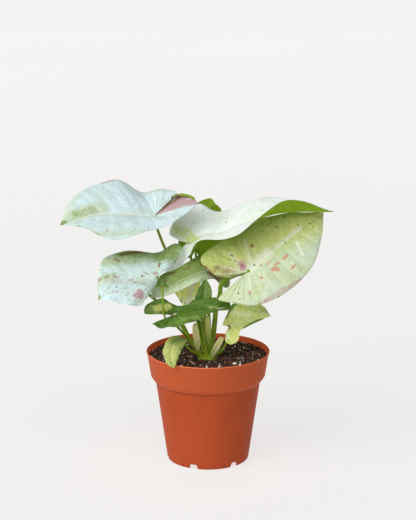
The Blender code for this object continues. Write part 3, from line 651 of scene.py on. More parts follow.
def blade_material(name, look, seed, kinds):
    """The upper side of one leaf: ground and wash, green mottling, pale veins, and the leaf's own marks."""
    leaf = settings().leaf
    mat, bench, shader, place, veins, mottle = leaf_side(name, look, seed)
    fleck = getattr(leaf, look["fleck"])

    def blotch(kind, ragged, soft):
        return bench.group("Blotch", Place=place, Mask=bench.mask(kind), Ragged=ragged, Soft=soft,
                           Seed=seed).outputs[0]

    wash = bench.times(mottle["Drift"], 0.4)
    if "wash" in kinds:
        wash = bench.calc("MAXIMUM", blotch("wash", 0.8, 0.5), wash)
    tone = bench.blend(wash, getattr(leaf, look["ground"]), getattr(leaf, look["wash"]))
    panel = bench.times(veins["Panel"], bench.times(mottle["Speckle"], look["mottle"]))
    tone = bench.blend(bench.times(panel, 0.6), tone, fleck)
    dabs = bench.times(mottle["Speckle"], look["mottle"] * 0.45)
    tone = bench.blend(dabs, tone, fleck)
    if "moss" in kinds:
        tone = bench.blend(blotch("moss", 1.2, 0.4), tone, leaf.moss)
    pale = bench.calc("MAXIMUM", bench.times(veins["Midrib"], look["rib"]),
                     bench.times(veins["Side veins"], look["lines"]))
    tone = bench.blend(pale, tone, leaf.vein)
    if "pale" in kinds:
        tone = bench.blend(blotch("pale", 0.7, 0.45), tone, leaf.vein)
    tone = bench.blend(bench.times(mottle["Flecks"], look["mottle"]), tone, leaf.moss)
    tone = bench.blend(bench.times(mottle["Dots"], look["dots"]), tone, leaf.deep)
    for kind in ("lime", "deep", "blush", "coral", "rust"):
        if kind in kinds:
            tone = bench.blend(bench.times(blotch(kind, 1.1, 0.3), 0.9), tone, getattr(leaf, kind))
    height = bench.plus(bench.times(veins["Net"], -0.3), mottle["Grain"])
    wire(bench, shader, tone, (mottle["Grain"], 0.2, 0.8, 0.42, 0.58), (height, 0.3, 0.15 * MM), 0.25,
         (tone, look["glow"]))
    return mat


def underside_material(name, look, seed, kinds):
    """The lower side of one leaf: plainer and brighter, with raised veins; brown streaks show on it too."""
    leaf = settings().leaf
    mat, bench, shader, _, veins, mottle = leaf_side(name, look, seed)
    tone = bench.blend(bench.times(mottle["Drift"], 0.15), getattr(leaf, look["under"]), leaf.moss)
    ribs = bench.calc("MAXIMUM", veins["Midrib"], bench.times(veins["Side veins"], 0.5))
    tone = bench.blend(bench.times(ribs, 0.25), tone, leaf.lime)
    if "rust" in kinds:
        tone = bench.blend(bench.fade(bench.mask("rust"), 0.2, 0.7), tone, leaf.rust)
    wire(bench, shader, tone, (mottle["Grain"], 0.2, 0.8, 0.5, 0.65),
         (bench.plus(ribs, mottle["Grain"]), 0.25, 0.15 * MM), 0.25, (tone, look["glow"]))
    return mat


def plastic_material():
    """Satin moulded plastic: fine flow marks, faint scuffs, painted shade in the crease under the band, a
    painted highlight along the lip, and the band and the slope below it painted a little lighter, where light
    falls on them more.

    The wall's inner side glows a little, a painted glow that lightens its shade, standing in for the light
    that thin plastic lets through from its other side."""
    pot = settings().pot
    mat, bench, shader = fresh_material("satin_plastic")
    place = bench.place()
    flow = bench.speckle(place, 26.0, 4.0, 0.6, 0.3)
    grain = bench.speckle(place, 1400.0, 2.0, 0.6, 0.9)
    scuffs = bench.times(bench.fade(bench.speckle(place, 260.0, 4.0, 0.7, 5.0), 0.6, 0.75), 0.35)
    tone = bench.blend(bench.fade(flow, 0.35, 0.7, 0.0, 0.5), pot.plastic, pot.flow_marks_and_crease_shade)
    tone = bench.blend(scuffs, tone, pot.flow_marks_and_crease_shade)
    height = bench.axis(place, "Z")
    # Painted shade: a dark line just above the neck, where the crease under the band lies in shade.
    off = bench.calc("ABSOLUTE", bench.minus(height, pot.height - NECK_DROP + 1.5 * MM))
    painted_crease_shade = tuple(c * 0.3 for c in pot.flow_marks_and_crease_shade)
    tone = bench.blend(bench.fade(off, 0.1 * MM, 1.2 * MM, 0.55, 0.0), tone, painted_crease_shade)
    # Painted highlight: the top of the lip is blended towards the pale edge colour.
    lip = bench.fade(height, pot.height - 0.9 * MM, pot.height - 0.1 * MM, 0.0, 0.9)
    # Painted light: from the neck up, the band is blended a little towards the pale edge colour, as it is lit
    # more.
    painted_band_light = bench.fade(height, pot.height - NECK_DROP, pot.height - BAND_H, 0.0, 0.16)
    tone = bench.blend(bench.plus(lip, painted_band_light), tone, pot.edge)
    # Painted glow: faces turned towards the pot's axis, the wall's inner side, emit the plastic's colour a
    # little, which lightens their shade.
    outward = bench.node("VectorMath")
    outward.operation = "DOT_PRODUCT"
    for socket, vector in zip(outward.inputs, (bench.node("NewGeometry").outputs["Normal"], place)):
        bench.feed(socket, vector)
    inside = bench.fade(outward.outputs["Value"], -30.0 * MM, 10.0 * MM, 1.0, 0.0)
    wire(bench, shader, tone, (grain, 0.2, 0.8, 0.46, 0.6), (bench.plus(grain, flow), 0.2, 0.08 * MM), 0.06,
         (bench.blend(inside, (0.0, 0.0, 0.0), pot.plastic), 0.3))
    return mat


def soil_material():
    """Dark wet peat with lighter bark: the tone mask differs from crumb to crumb."""
    soil = settings().soil
    mat, bench, shader = fresh_material("potting_mix")
    place = bench.place()
    lumps = bench.speckle(place, 420.0, 5.0, 0.65, 0.0)
    grit = bench.speckle(place, 1900.0, 3.0, 0.7, 3.1)
    light = bench.times(bench.fade(lumps, 0.5, 0.75), 0.5)
    tone = bench.blend(bench.calc("MAXIMUM", light, bench.mask("tone")), soil.peat, soil.bark)
    tone = bench.blend(bench.fade(grit, 0.66, 0.76, 0.0, 0.5), tone, soil.perlite)
    wire(bench, shader, tone, (grit, 0.3, 0.7, 0.75, 0.95), (bench.plus(lumps, grit), 0.8, 0.6 * MM))
    return mat


def perlite_material():
    soil = settings().soil
    mat, bench, shader = fresh_material("perlite")
    place = bench.place()
    pits = bench.cells(place, 1500.0)
    stain = bench.fade(bench.speckle(place, 500.0, 3.0, 0.6, 1.0), 0.45, 0.75, 0.0, 0.4)
    wire(bench, shader, bench.blend(stain, soil.perlite, soil.bark), (pits, 0.0, 0.6, 0.7, 0.95),
         (pits, 0.6, 0.3 * MM))
    return mat


def stem_material():
    """Petioles and crown: streaked green, paler towards the foot by the clasp mask."""
    stem = settings().stem
    mat, bench, shader = fresh_material("petiole_green")
    fibres = bench.group("Fibres", Sheet=bench.sheet(), Around=14.0, Along=5.0).outputs
    streaks = bench.fade(fibres["Streaks"], 0.4, 0.65, 0.0, 0.6)
    pale = bench.calc("MAXIMUM", bench.mask("clasp"), streaks)
    tone = bench.blend(pale, stem.green, stem.pale)
    tone = bench.blend(bench.times(fibres["Patches"], 0.25), tone, settings().leaf.deep)
    wire(bench, shader, tone, (fibres["Streaks"], 0.2, 0.8, 0.38, 0.52),
         (fibres["Streaks"], 0.3, 0.15 * MM), 0.25)
    return mat


def sheath_material(finish):
    """Dry or young sheath tissue: fine fibres, pale patches and a browned tip."""
    stem = settings().stem
    mat, bench, shader = fresh_material("sheath_" + finish)
    fibres = bench.group("Fibres", Sheet=bench.sheet(), Around=26.0, Along=2.0).outputs
    tone = bench.blend(bench.fade(fibres["Streaks"], 0.4, 0.7, 0.0, 0.5), getattr(stem, finish), stem.pale)
    tone = bench.blend(bench.times(fibres["Patches"], 0.25), tone, settings().leaf.vein)
    along = bench.axis(bench.sheet(), "Y")
    living = 0.95 if finish == "cream" else 0.4
    tone = bench.blend(bench.fade(along, 0.1, 0.75, living, 0.0), tone, stem.green)
    tone = bench.blend(bench.fade(along, 0.72, 1.0, 0.0, 0.55), tone, settings().leaf.rust)
    wire(bench, shader, tone, (fibres["Streaks"], 0.2, 0.8, 0.55, 0.75), (fibres["Streaks"], 0.5, 0.2 * MM))
    return mat


# Shapes.


def add_object(name, data):
    ob = bpy.data.objects.new(name, data)
    bpy.context.scene.collection.objects.link(ob)
    return ob


def mesh_from(name, bm):
    mesh = bpy.data.meshes.new(name)
    bm.to_mesh(mesh)
    bm.free()
    return mesh


def settle(ob, slot, *nodes):
    """The finished piece rides on the plant and stands for its nodes of the model."""
    ob.data.shade_smooth()
    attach(ob, "root")
    if nodes:
        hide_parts(*nodes)


def paint(mesh, name, values):
    layer = mesh.attributes.new(name, "FLOAT", "POINT")
    layer.data.foreach_set("value", np.asarray(values, np.float32))


def read(layer, field, wide=1):
    """A layer's values as an array, in rows where each value is wide."""
    values = np.zeros(len(layer) * wide, np.float32)
    layer.foreach_get(field, values)
    return (values if wide == 1 else values.reshape(-1, wide)).astype(float)


def coordinates(mesh):
    return read(mesh.vertices, "co", 3)


def through(points, at):
    """A smooth curve that passes each point; at runs from 0 to the last point's index."""
    k = min(int(at), len(points) - 2)
    t = at - k
    before = points[k - 1] if k else 2 * points[0] - points[1]
    after = points[k + 2] if k + 2 < len(points) else 2 * points[-1] - points[-2]
    a, b = points[k], points[k + 1]
    return 0.5 * (2 * a + (b - before) * t + (2 * before - 5 * a + 4 * b - after) * t ** 2
                  + (3 * a - before - 3 * b + after) * t ** 3)


# A rolled hem turns through HEM_TURN radians and starts its own radius and HEM_INSET mm in from the margin.
# It grows to its full size over HEM_EASE of a rib at either end.
HEM_TURN, HEM_INSET, HEM_EASE = 3.9, 2.2, 0.45

# Over the first TURNING ribs the side that a blade bows to turns from the junction's to the rib's own, which
# stands square to the margin's course from so many ribs before it to so many after it.
TURNING, BEFORE, AFTER = 4, 0.5, 1.5


def upper_side(leaf):
    """The direction that the blade's upper side faces at the junction, the mean over the ribs there."""
    fan_size = leaf["roots"].count(0.0)
    fan = [*leaf["left"][:fan_size], leaf["midrib"][0], *reversed(leaf["right"][:fan_size])]
    ribs = [np.array(p, float) - np.array(leaf["junction"], float) for p in fan]
    faces = [np.cross(b, a) for a, b in zip(ribs, ribs[1:])]
    up = sum(face / np.linalg.norm(face) for face in faces)
    return up / np.linalg.norm(up)


def rise(at, first, end):
    """0 outside first and end, 1 between them, with soft flanks."""
    t = min(1.0, max(0.0, min(at - first, end - at) / HEM_EASE))
    return t * t * (3 - 2 * t)


def curl(root, ahead, up, reach, out, radius, hem):
    """A rib whose outer end rolls over towards the upper side, past a half turn, and then lies back."""
    start = reach - radius - HEM_INSET * hem / (hem + 1.0)
    run = out * (start + hem)
    turn = np.maximum(run - start, 0) / radius
    lying = np.maximum(turn - HEM_TURN, 0) * radius
    turn = np.minimum(turn, HEM_TURN)
    flat = ahead * (np.minimum(run, start) + radius * np.sin(turn) + lying * np.cos(turn))
    return root + flat + up * (radius * (1 - np.cos(turn)) + lying * np.sin(turn))


def blade_surface(leaf, per_rib, rings):
    """The blade as an array of rows, each from the left margin over the midrib to the right margin."""
    junction = np.array(leaf["junction"], float)
    spine = [junction] + [np.array(p, float) for p in leaf["midrib"]]
    fine = np.array([through(spine, at) for at in np.linspace(0, len(spine) - 1, 60)])
    run = np.concatenate([[0], np.cumsum(np.linalg.norm(np.diff(fine, axis=0), axis=1))])
    last = len(leaf["roots"]) - 1
    level = upper_side(leaf)
    out = np.linspace(0, 1, rings + 1)[:, None]
    rows = []
    for at in np.linspace(0, last, last * per_rib + 1):
        share = np.interp(at, range(last + 1), leaf["roots"])
        turning = min(1.0, at / TURNING)
        root = np.array([np.interp(share * run[-1], run, axis) for axis in fine.T])
        halves = []
        for side, hand in (("left", 1.0), ("right", -1.0)):
            margin = [np.array(p, float) for p in leaf[side]] + [spine[-1]]
            rib = through(margin, at) - root
            ahead = through(margin, min(at + AFTER, last)) - through(margin, max(at - BEFORE, 0))
            up = hand * np.cross(ahead, rib)
            up = level * (1 - turning) + up / (np.linalg.norm(up) + 1e-9) * turning
            reach = np.linalg.norm(rib)
            flat = root + rib * out
            for curled, first, end, radius, hem in leaf.get("curls", []):
                if curled == side and first < at < end:
                    part = rise(at, first, end)
                    flat = curl(root, rib / reach, up, reach, out, radius * part, hem * part)
            halves.append(flat + up * leaf["cup"] * reach * 4 * out * (1 - out))
        rows.append(np.concatenate([halves[0][:0:-1], halves[1]]))
    return np.array(rows)


def on_blade(surface, last, rib, across):
    """The point of the blade at a rib's number and a share across."""
    rows, columns = surface.shape[:2]
    return surface[int(round(rib / last * (rows - 1))), int(round((across + 1) / 2 * (columns - 1)))]


# A mark is at full strength up to MARK_EDGE - 1 of its half width and gone at MARK_EDGE of it. The first
# LOBE_RIBS ribs belong to the basal lobes.
MARK_EDGE = 1.35
LOBE_RIBS = 3.0


def mark_blade(mesh, leaf, surface, marks, along, across):
    """Paints a blade's marks as one mask for each kind, strongest along the middle of each mark.

    A mark on one basal lobe stays off the other lobe, however near that one lies."""
    spots = coordinates(mesh) / MM
    last = len(leaf["roots"]) - 1
    lobe = np.clip(LOBE_RIBS - along * last, 0, 1) if leaf["roots"] is LOBED else 0.0
    for kind, rows in marks.items():
        mask = np.zeros(len(spots))
        for from_rib, from_across, to_rib, to_across, half_width, strength in rows:
            a, b = (on_blade(surface, last, *at) for at in ((from_rib, from_across), (to_rib, to_across)))
            line = b - a
            share = np.clip((spots - a) @ line / (line @ line + 1e-9), 0, 1)
            off = np.linalg.norm(spots - a - share[:, None] * line, axis=1) / half_width
            mark = strength * np.clip(MARK_EDGE - off, 0, 1)
            if from_across * to_across > 0:
                mark = mark * (1 - lobe * (across * to_across < 0))
            mask = np.maximum(mask, mark)
        paint(mesh, kind, mask)


# The groove's depth at the midrib and its width, as a share of the rib; the ruffles along a margin; the
# scale of the slow waves; and the pleats from margin to margin.
GROOVE, GROOVE_WIDTH, RUFFLES, SLOW_SCALE, PLEATS = 1.3, 0.05, 5.3, 45.0, 3.5


def relief(along, across, spots, look):
    """How far the upper side swells: quilted between its veins, grooved at the midrib, waved outside."""
    leaf = settings().leaf
    out = np.abs(across)
    phase = along * look["veins"] - VEIN_SWEEP * out ** VEIN_BEND + VEIN_SHIFT * (across > 0)
    swell = np.abs(np.sin(np.pi * (phase + 0.5))) ** 0.8 * np.sqrt(out) * (1 - out ** 4)
    groove = -GROOVE * np.exp(-(out / GROOVE_WIDTH) ** 2) * np.clip(along * 4, 0, 1) * (1 - along ** 4)
    wave = out ** 5 * np.sin(2 * np.pi * (along * RUFFLES + (across > 0) * 0.4)) * (1 - along ** 6)
    slow = np.array([noise.noise(Vector(spot) * SLOW_SCALE) for spot in spots]) * np.sqrt(out)
    calm = np.clip(along * 7 - 0.4, 0, 1)
    swell = look["quilt"] * leaf.quilting * (swell * calm + groove)
    swell += look["pleats"] * MM * np.cos(PLEATS * np.pi * across) * (1 - along ** 4)
    return swell + look["wave"] * (leaf.ruffle * wave * calm + leaf.waves * slow)


def build_blade(name, leaf, look, per_rib, rings):
    """One leaf blade: its fine surface, quilted, marked, and given its thickness below."""
    surface = blade_surface(leaf, per_rib, rings)
    rows, columns = surface.shape[:2]
    bm = bmesh.new()
    bm.loops.layers.uv.new("UVMap")
    bmesh.ops.create_grid(bm, x_segments=columns - 1, y_segments=rows - 1, size=1.0, calc_uvs=True)
    along = bm.verts.layers.float.new("along")
    across = bm.verts.layers.float.new("across")
    bm.verts.ensure_lookup_table()
    for k, v in enumerate(bm.verts):
        v[along] = (k // columns) / (rows - 1)
        v[across] = (k % columns) / (columns - 1) * 2 - 1
        v.co = Vector(surface[k // columns, k % columns]) * MM
    bmesh.ops.remove_doubles(bm, verts=bm.verts, dist=0.01 * MM)
    bmesh.ops.triangulate(bm, faces=bm.faces)
    mesh = mesh_from(name, bm)
    place = [read(mesh.attributes[layer].data, "value") for layer in ("along", "across")]
    normals = read(mesh.vertex_normals, "vector", 3)
    mark_blade(mesh, leaf, surface, MARKS.get(name, {}), *place)
    co = coordinates(mesh) + normals * relief(*place, coordinates(mesh), look)[:, None]
    mesh.vertices.foreach_set("co", co.astype(np.float32).ravel())
    ob = add_object(name + "_blade", mesh)
    shell = ob.modifiers.new("thickness", "SOLIDIFY")
    shell.thickness = settings().leaf.blade
    shell.offset = -1.0
    shell.material_offset = 1
    return ob


def softened(profile, radius, steps=3):
    """The profile with each inner corner replaced by a short curve."""
    points = [Vector((r, z)) for r, z in profile]
    out = [points[0]]
    for before, corner, after in zip(points, points[1:], points[2:]):
        reach = min(radius, (before - corner).length * 0.45, (after - corner).length * 0.45)
        a = corner + (before - corner).normalized() * reach
        b = corner + (after - corner).normalized() * reach
        for k in range(steps + 1):
            t = k / steps
            out.append(a * (1 - t) ** 2 + corner * 2 * t * (1 - t) + b * t ** 2)
    out.append(points[-1])
    return [(p.x, p.y) for p in out]


def turned(name, profile, segments):
    """A profile of (radius, height), down its outer side, turned round Z and made a plain mesh object."""
    bm = bmesh.new()
    verts = [bm.verts.new((r, 0.0, z)) for r, z in profile]
    for a, b in zip(verts, verts[1:]):
        bm.edges.new((a, b))
    ob = add_object(name, mesh_from(name, bm))
    screw = ob.modifiers.new("turn", "SCREW")
    screw.axis = "Z"
    screw.steps = segments
    screw.render_steps = segments
    screw.use_merge_vertices = True
    screw.merge_threshold = 0.000005
    return baked(ob, name)


def baked(ob, name):
    graph = bpy.context.evaluated_depsgraph_get()
    mesh = bpy.data.meshes.new_from_object(ob.evaluated_get(graph))
    bpy.data.objects.remove(ob)
    return add_object(name, mesh)


# Pot.

BAND_R, BAND_H = 48.7 * MM, 21.5 * MM
NECK_R, NECK_DROP = 44.5 * MM, 27.6 * MM
BASE_R = 34.8 * MM
WALL, LIP = 1.3 * MM, 0.9 * MM
CORNER = 3.0 * MM
FLOOR_Z, FLOOR_T = 4.8 * MM, 1.4 * MM
SKIRT_T = 1.8 * MM
BOSS_R = 13.0 * MM
NOTCHES = 6
NOTCH_AZIMUTH = math.radians(-20.7)
NOTCH_W, NOTCH_TOP_W, NOTCH_H = 10.0 * MM, 6.0 * MM, 4.3 * MM
VENT_OFFSET, VENT_R, VENT_Z = math.radians(-16.3), 0.9 * MM, 2.6 * MM
DRAIN_R, DRAIN_RING_R = 3.0 * MM, 22.0 * MM
CUT_DEPTH = 12.0 * MM


def outer_radius(z):
    neck_z = settings().pot.height - NECK_DROP
    return BASE_R + (NECK_R - BASE_R) * z / neck_z


def pot_profile():
    top, rim = settings().pot.height, settings().pot.rim_radius
    neck_z, band_z = top - NECK_DROP, top - BAND_H
    corner = []
    for k in range(7):
        a = math.radians(90 * k / 6)
        corner.append((outer_radius(CORNER) - CORNER * 0.5 * (1 - math.cos(a)), CORNER * (1 - math.sin(a))))
    floor_r = outer_radius(FLOOR_Z) - SKIRT_T
    inner_z = FLOOR_Z + FLOOR_T
    return [
        (rim - 0.3 * MM, top), (rim, top - 0.4 * MM), (rim - 0.1 * MM, top - 1.6 * MM),
        (rim - 0.6 * MM, top - 2.0 * MM),
        (BAND_R + 0.3 * MM, band_z + 1.0 * MM), (BAND_R, band_z), (NECK_R + 0.5 * MM, neck_z + 1.0 * MM),
        (NECK_R, neck_z), *corner,
        (floor_r - 0.6 * MM, 0.0), (floor_r, FLOOR_Z), (BOSS_R + 1.2 * MM, FLOOR_Z), (BOSS_R, 0.0),
        (0.0, 0.0), (0.0, FLOOR_T), (BOSS_R - 0.8 * MM, FLOOR_T), (BOSS_R + 0.2 * MM, inner_z),
        (outer_radius(inner_z) - WALL, inner_z), (NECK_R - WALL, neck_z - 0.6 * MM),
        (BAND_R - WALL, band_z - 0.6 * MM), (rim - LIP - 0.6 * MM, top - 2.0 * MM), (rim - LIP, top),
    ]


def cutter(name, bm, place, cutters):
    bm.transform(place)
    cutters.objects.link(bpy.data.objects.new(name, mesh_from(name, bm)))


def pot_cutters():
    cutters = bpy.data.collections.new("pot_cutters")
    bpy.context.scene.collection.children.link(cutters)
    sideways = Matrix.Rotation(math.pi / 2, 4, "X")

    def at(azimuth, radius, z=0.0):
        return Matrix.Rotation(azimuth, 4, "Z") @ Matrix.Translation((0.0, -radius, z))

    for k in range(NOTCHES):
        azimuth = NOTCH_AZIMUTH + k * math.tau / NOTCHES
        bm = bmesh.new()
        bmesh.ops.create_cube(bm, size=1.0)
        for v in bm.verts:
            width = NOTCH_TOP_W if v.co.z > 0 else NOTCH_W
            v.co = Vector((v.co.x * width, v.co.y * CUT_DEPTH, NOTCH_H if v.co.z > 0 else -NOTCH_H))
        edges = [e for e in bm.edges if all(v.co.z > 0 for v in e.verts)
                 and abs(e.verts[0].co.y - e.verts[1].co.y) > MM]
        bmesh.ops.bevel(bm, geom=edges, offset=1.2 * MM, segments=4, affect="EDGES", profile=0.5)
        cutter("notch", bm, at(azimuth, BASE_R), cutters)
        vent = at(azimuth + VENT_OFFSET, BASE_R, VENT_Z) @ sideways
        drain = at(azimuth + math.pi / NOTCHES, DRAIN_RING_R, FLOOR_Z)
        for place, radius in ((vent, VENT_R), (drain, DRAIN_R)):
            bm = bmesh.new()
            bmesh.ops.create_cone(bm, cap_ends=True, segments=24, radius1=radius, radius2=radius,
                                  depth=CUT_DEPTH)
            cutter("hole", bm, place, cutters)
    return cutters


def build_pot():
    ob = turned("nursery_pot", softened(pot_profile(), 0.5 * MM), 180)
    cutters = pot_cutters()
    cut = ob.modifiers.new("cut", "BOOLEAN")
    cut.operation = "DIFFERENCE"
    cut.operand_type = "COLLECTION"
    cut.collection = cutters
    cut.solver = "EXACT"
    bpy.context.view_layer.update()
    ob = baked(ob, "nursery_pot")
    for hole in list(cutters.objects):
        bpy.data.objects.remove(hole)
    bpy.data.collections.remove(cutters)
    ob.data.materials.append(plastic_material())
    settle(ob, "terracotta", "pot")
    ob.data.set_sharp_from_angle(angle=math.radians(40))


# Potting mix. The sizes of crumbs and small grains, in mm, run from the first number to the sum of the
# first two, and the higher the third is, the fewer are large.

SOIL_GAP = 0.4 * MM
SCATTER_SEED = 7
CRUMB_SIZES = (0.7, 1.9, 2.5)
GRAIN_SIZES = (0.55, 1.3, 2)

# Each lump of the mix is stretched by shares between the first two, dented by a share, tilted by an angle
# and flattened, and its middle lies a share of its size above the mix.
LUMP_STRETCH, LUMP_DENT, LUMP_TILT, LUMP_FLATNESS, LUMP_RISE = (0.6, 1.3), 0.16, 0.6, 0.8, 0.12
LARGE_GRAINS = [((22.5, -27.5), 3.6), ((27.0, -31.0), 2.8), ((29.0, -33.5), 2.2), ((9.5, -36.5), 3.0),
                ((-22.0, -30.0), 1.8), ((-33.0, -16.0), 1.8)]


def soil_height(x, y):
    """Lumpy potting mix: a few crossed waves with finer lumps on them, in metres."""
    u, v = x / MM, y / MM
    wave = (math.sin(0.55 * u + 1.3) * math.cos(0.47 * v) + 0.6 * math.sin(0.31 * u - 0.83 * v)
            + 0.4 * math.cos(0.97 * u + 0.6 * v))
    lumps = noise.fractal(Vector((u, v, 0.0)) * 0.35, 0.9, 2.1, 5)
    return settings().soil.level + (0.45 * wave + 0.75 * lumps) * MM


def soil_reach():
    """The mix's radius at its surface, just inside the pot's wall."""
    top, rim = settings().pot.height, settings().pot.rim_radius
    slope = (rim - LIP - 0.6 * MM - BAND_R + WALL) / (BAND_H - 2.0 * MM)
    return BAND_R - WALL - SOIL_GAP + slope * (settings().soil.level - (top - BAND_H))


def build_soil_body():
    top, level, reach = settings().pot.height, settings().soil.level, soil_reach()
    neck_z, floor = top - NECK_DROP, FLOOR_Z + FLOOR_T + SOIL_GAP
    rings = 80
    profile = [(reach * k / rings, level) for k in range(rings + 1)]
    profile += [(BAND_R - WALL - SOIL_GAP, top - BAND_H), (NECK_R - WALL - SOIL_GAP, neck_z - 0.6 * MM),
                (outer_radius(floor) - WALL - SOIL_GAP, floor), (0.0, floor)]
    ob = turned("potting_mix", profile, 300)
    for v in ob.data.vertices:
        if v.co.z > level - SOIL_GAP:
            v.co.z = soil_height(v.co.x, v.co.y)
    ob.data.materials.append(soil_material())
    return ob


def pebble_template(detail):
    bm = bmesh.new()
    bmesh.ops.create_icosphere(bm, subdivisions=detail, radius=0.5)
    points = np.array([v.co for v in bm.verts], float)
    faces = [[v.index for v in f.verts] for f in bm.faces]
    bm.free()
    return points, faces


def scatter(name, places, sizes, tones, detail, rng):
    """One object of many lumps, each stretched and dented its own way, partly sunk in the mix."""
    points, faces = pebble_template(detail)
    verts, polys, masks = [], [], []
    for (x, y), size, tone in zip(places, sizes, tones):
        stretch = rng.uniform(*LUMP_STRETCH, 3) * (1, 1, LUMP_FLATNESS)
        turn = np.array(Matrix.Rotation(rng.uniform(0, math.tau), 3, "Z")
                        @ Matrix.Rotation(rng.uniform(-LUMP_TILT, LUMP_TILT), 3, "X"))
        dents = 1 + rng.uniform(-LUMP_DENT, LUMP_DENT, len(points))
        lump = (points * dents[:, None] * stretch * size * MM) @ turn.T
        lump += (x, y, soil_height(x, y) + LUMP_RISE * size * MM)
        polys += [[i + len(verts) * len(points) for i in face] for face in faces]
        verts.append(lump)
        masks.append(np.full(len(points), tone))
    mesh = bpy.data.meshes.new(name)
    mesh.from_pydata(np.concatenate(verts).tolist(), [], polys)
    paint(mesh, "tone", np.concatenate(masks))
    return add_object(name, mesh)


def spread(wanted, rng):
    """Random places on the mix, clear of the wall and of the crown."""
    found = []
    while len(found) < wanted:
        r, a = (soil_reach() - 1.2 * MM) * math.sqrt(rng.uniform()), rng.uniform(0, math.tau)
        x, y = r * math.cos(a), r * math.sin(a)
        if math.hypot(x / MM - CROWN[0], y / MM - CROWN[1]) > CROWN_R:
            found.append((x, y))
    return found


def random_sizes(wanted, rng, least, more, bias):
    return least + more * rng.uniform(size=wanted) ** bias


def build_soil():
    soil = settings().soil
    rng = np.random.default_rng(SCATTER_SEED)
    settle(build_soil_body(), "soil", "soil")
    sizes = random_sizes(soil.crumbs, rng, *CRUMB_SIZES)
    places = spread(soil.crumbs, rng)
    crumbs = scatter("crumbs", places, sizes, rng.uniform(0, 1, soil.crumbs) ** 2, 1, rng)
    crumbs.data.materials.append(soil_material())
    settle(crumbs, "soil")
    places = spread(soil.grains, rng) + [(x * MM, y * MM) for (x, y), _ in LARGE_GRAINS]
    sizes = [*random_sizes(soil.grains, rng, *GRAIN_SIZES), *(size for _, size in LARGE_GRAINS)]
    grains = scatter("perlite_grains", places, sizes, np.zeros(len(places)), 2, rng)
    grains.data.materials.append(perlite_material())
    settle(grains, "soil")


# Crown, petioles, sheaths.

# A direction that no tube starts along.
ASLANT = (0.3, 1.0, 0.2)


def tube(name, line, radii, sides):
    """A round tube along a line of points, closed flat at its ends, with sheet coordinates."""
    bm = bmesh.new()
    sheet = bm.loops.layers.uv.new("UVMap")
    tangents = np.gradient(line, axis=0)
    tangents /= np.linalg.norm(tangents, axis=1)[:, None]
    side = np.cross(tangents[0], ASLANT)
    rings = []
    for centre, tangent, radius in zip(line, tangents, radii):
        side = side - tangent * (side @ tangent)
        side /= np.linalg.norm(side)
        other = np.cross(tangent, side)
        ring = []
        for k in range(sides):
            a = math.tau * k / sides
            ring.append(bm.verts.new((centre + (side * math.cos(a) + other * math.sin(a)) * radius) * MM))
        rings.append(ring)
    for j, (low, high) in enumerate(zip(rings, rings[1:])):
        for k in range(sides):
            n = (k + 1) % sides
            face = bm.faces.new((low[k], low[n], high[n], high[k]))
            spots = ((k, j), (k + 1, j), (k + 1, j + 1), (k, j + 1))
            for loop, (u, v) in zip(face.loops, spots):
                loop[sheet].uv = (u / sides, v / (len(rings) - 1))
    bm.faces.new(list(reversed(rings[0])))
    bm.faces.new(rings[-1])
    return add_object(name, mesh_from(name, bm))


# Petioles, in mm: how far each starts below its first point, its last stretch square to the blade and the
# step between its rings; over CLASP_REACH it is wider by up to CLASP_FLARE, over about HEAD_REACH by
# HEAD_FLARE, both as a share of its width. HEAD_GAP is how far below the blade's middle it ends.
FOOT_SINK, LAST_STRETCH, RING_STEP, HEAD_GAP = 6.0, 3.0, 0.9, 0.2
CLASP_REACH, CLASP_FLARE = 20.0, 0.55
HEAD_REACH, HEAD_FLARE = 1.5, 0.25


def build_petiole(name, foot_w, head_w, route):
    """A petiole: flared where it clasps the crown, slimmer up its length, wider again under the blade."""
    leaf = BLADES[name]
    up = upper_side(leaf)
    head = np.array(leaf["junction"], float) - up * HEAD_GAP
    knots = [np.array(p, float) for p in route] + [head - up * LAST_STRETCH]
    knots.insert(0, knots[0] - np.array((0.0, 0.0, FOOT_SINK)))
    ats = np.linspace(0, len(knots) - 1, 24 * len(knots))
    rough = np.array([through(knots, at) for at in ats] + [head])
    run = np.concatenate([[0], np.cumsum(np.linalg.norm(np.diff(rough, axis=0), axis=1))])
    steps = int(run[-1] / RING_STEP)
    line = np.stack([np.interp(np.linspace(0, run[-1], steps), run, axis) for axis in rough.T], axis=1)
    share = np.linspace(0, 1, steps)
    above = np.clip((share * run[-1] - FOOT_SINK) / CLASP_REACH, 0, 1)
    width = foot_w + (head_w - foot_w) * share ** 0.7
    width *= 1 + CLASP_FLARE * (1 - above) ** 2
    width *= 1 + HEAD_FLARE * np.exp(-((1 - share) * run[-1] / HEAD_REACH) ** 2)
    ob = tube("petiole_" + name, line, width / 2, settings().stem.sides)
    heights = coordinates(ob.data)[:, 2] / MM
    paint(ob.data, "clasp", np.clip(1.1 - (heights - SOIL_TOP) / 30.0, 0, 1) ** 1.5)
    return ob


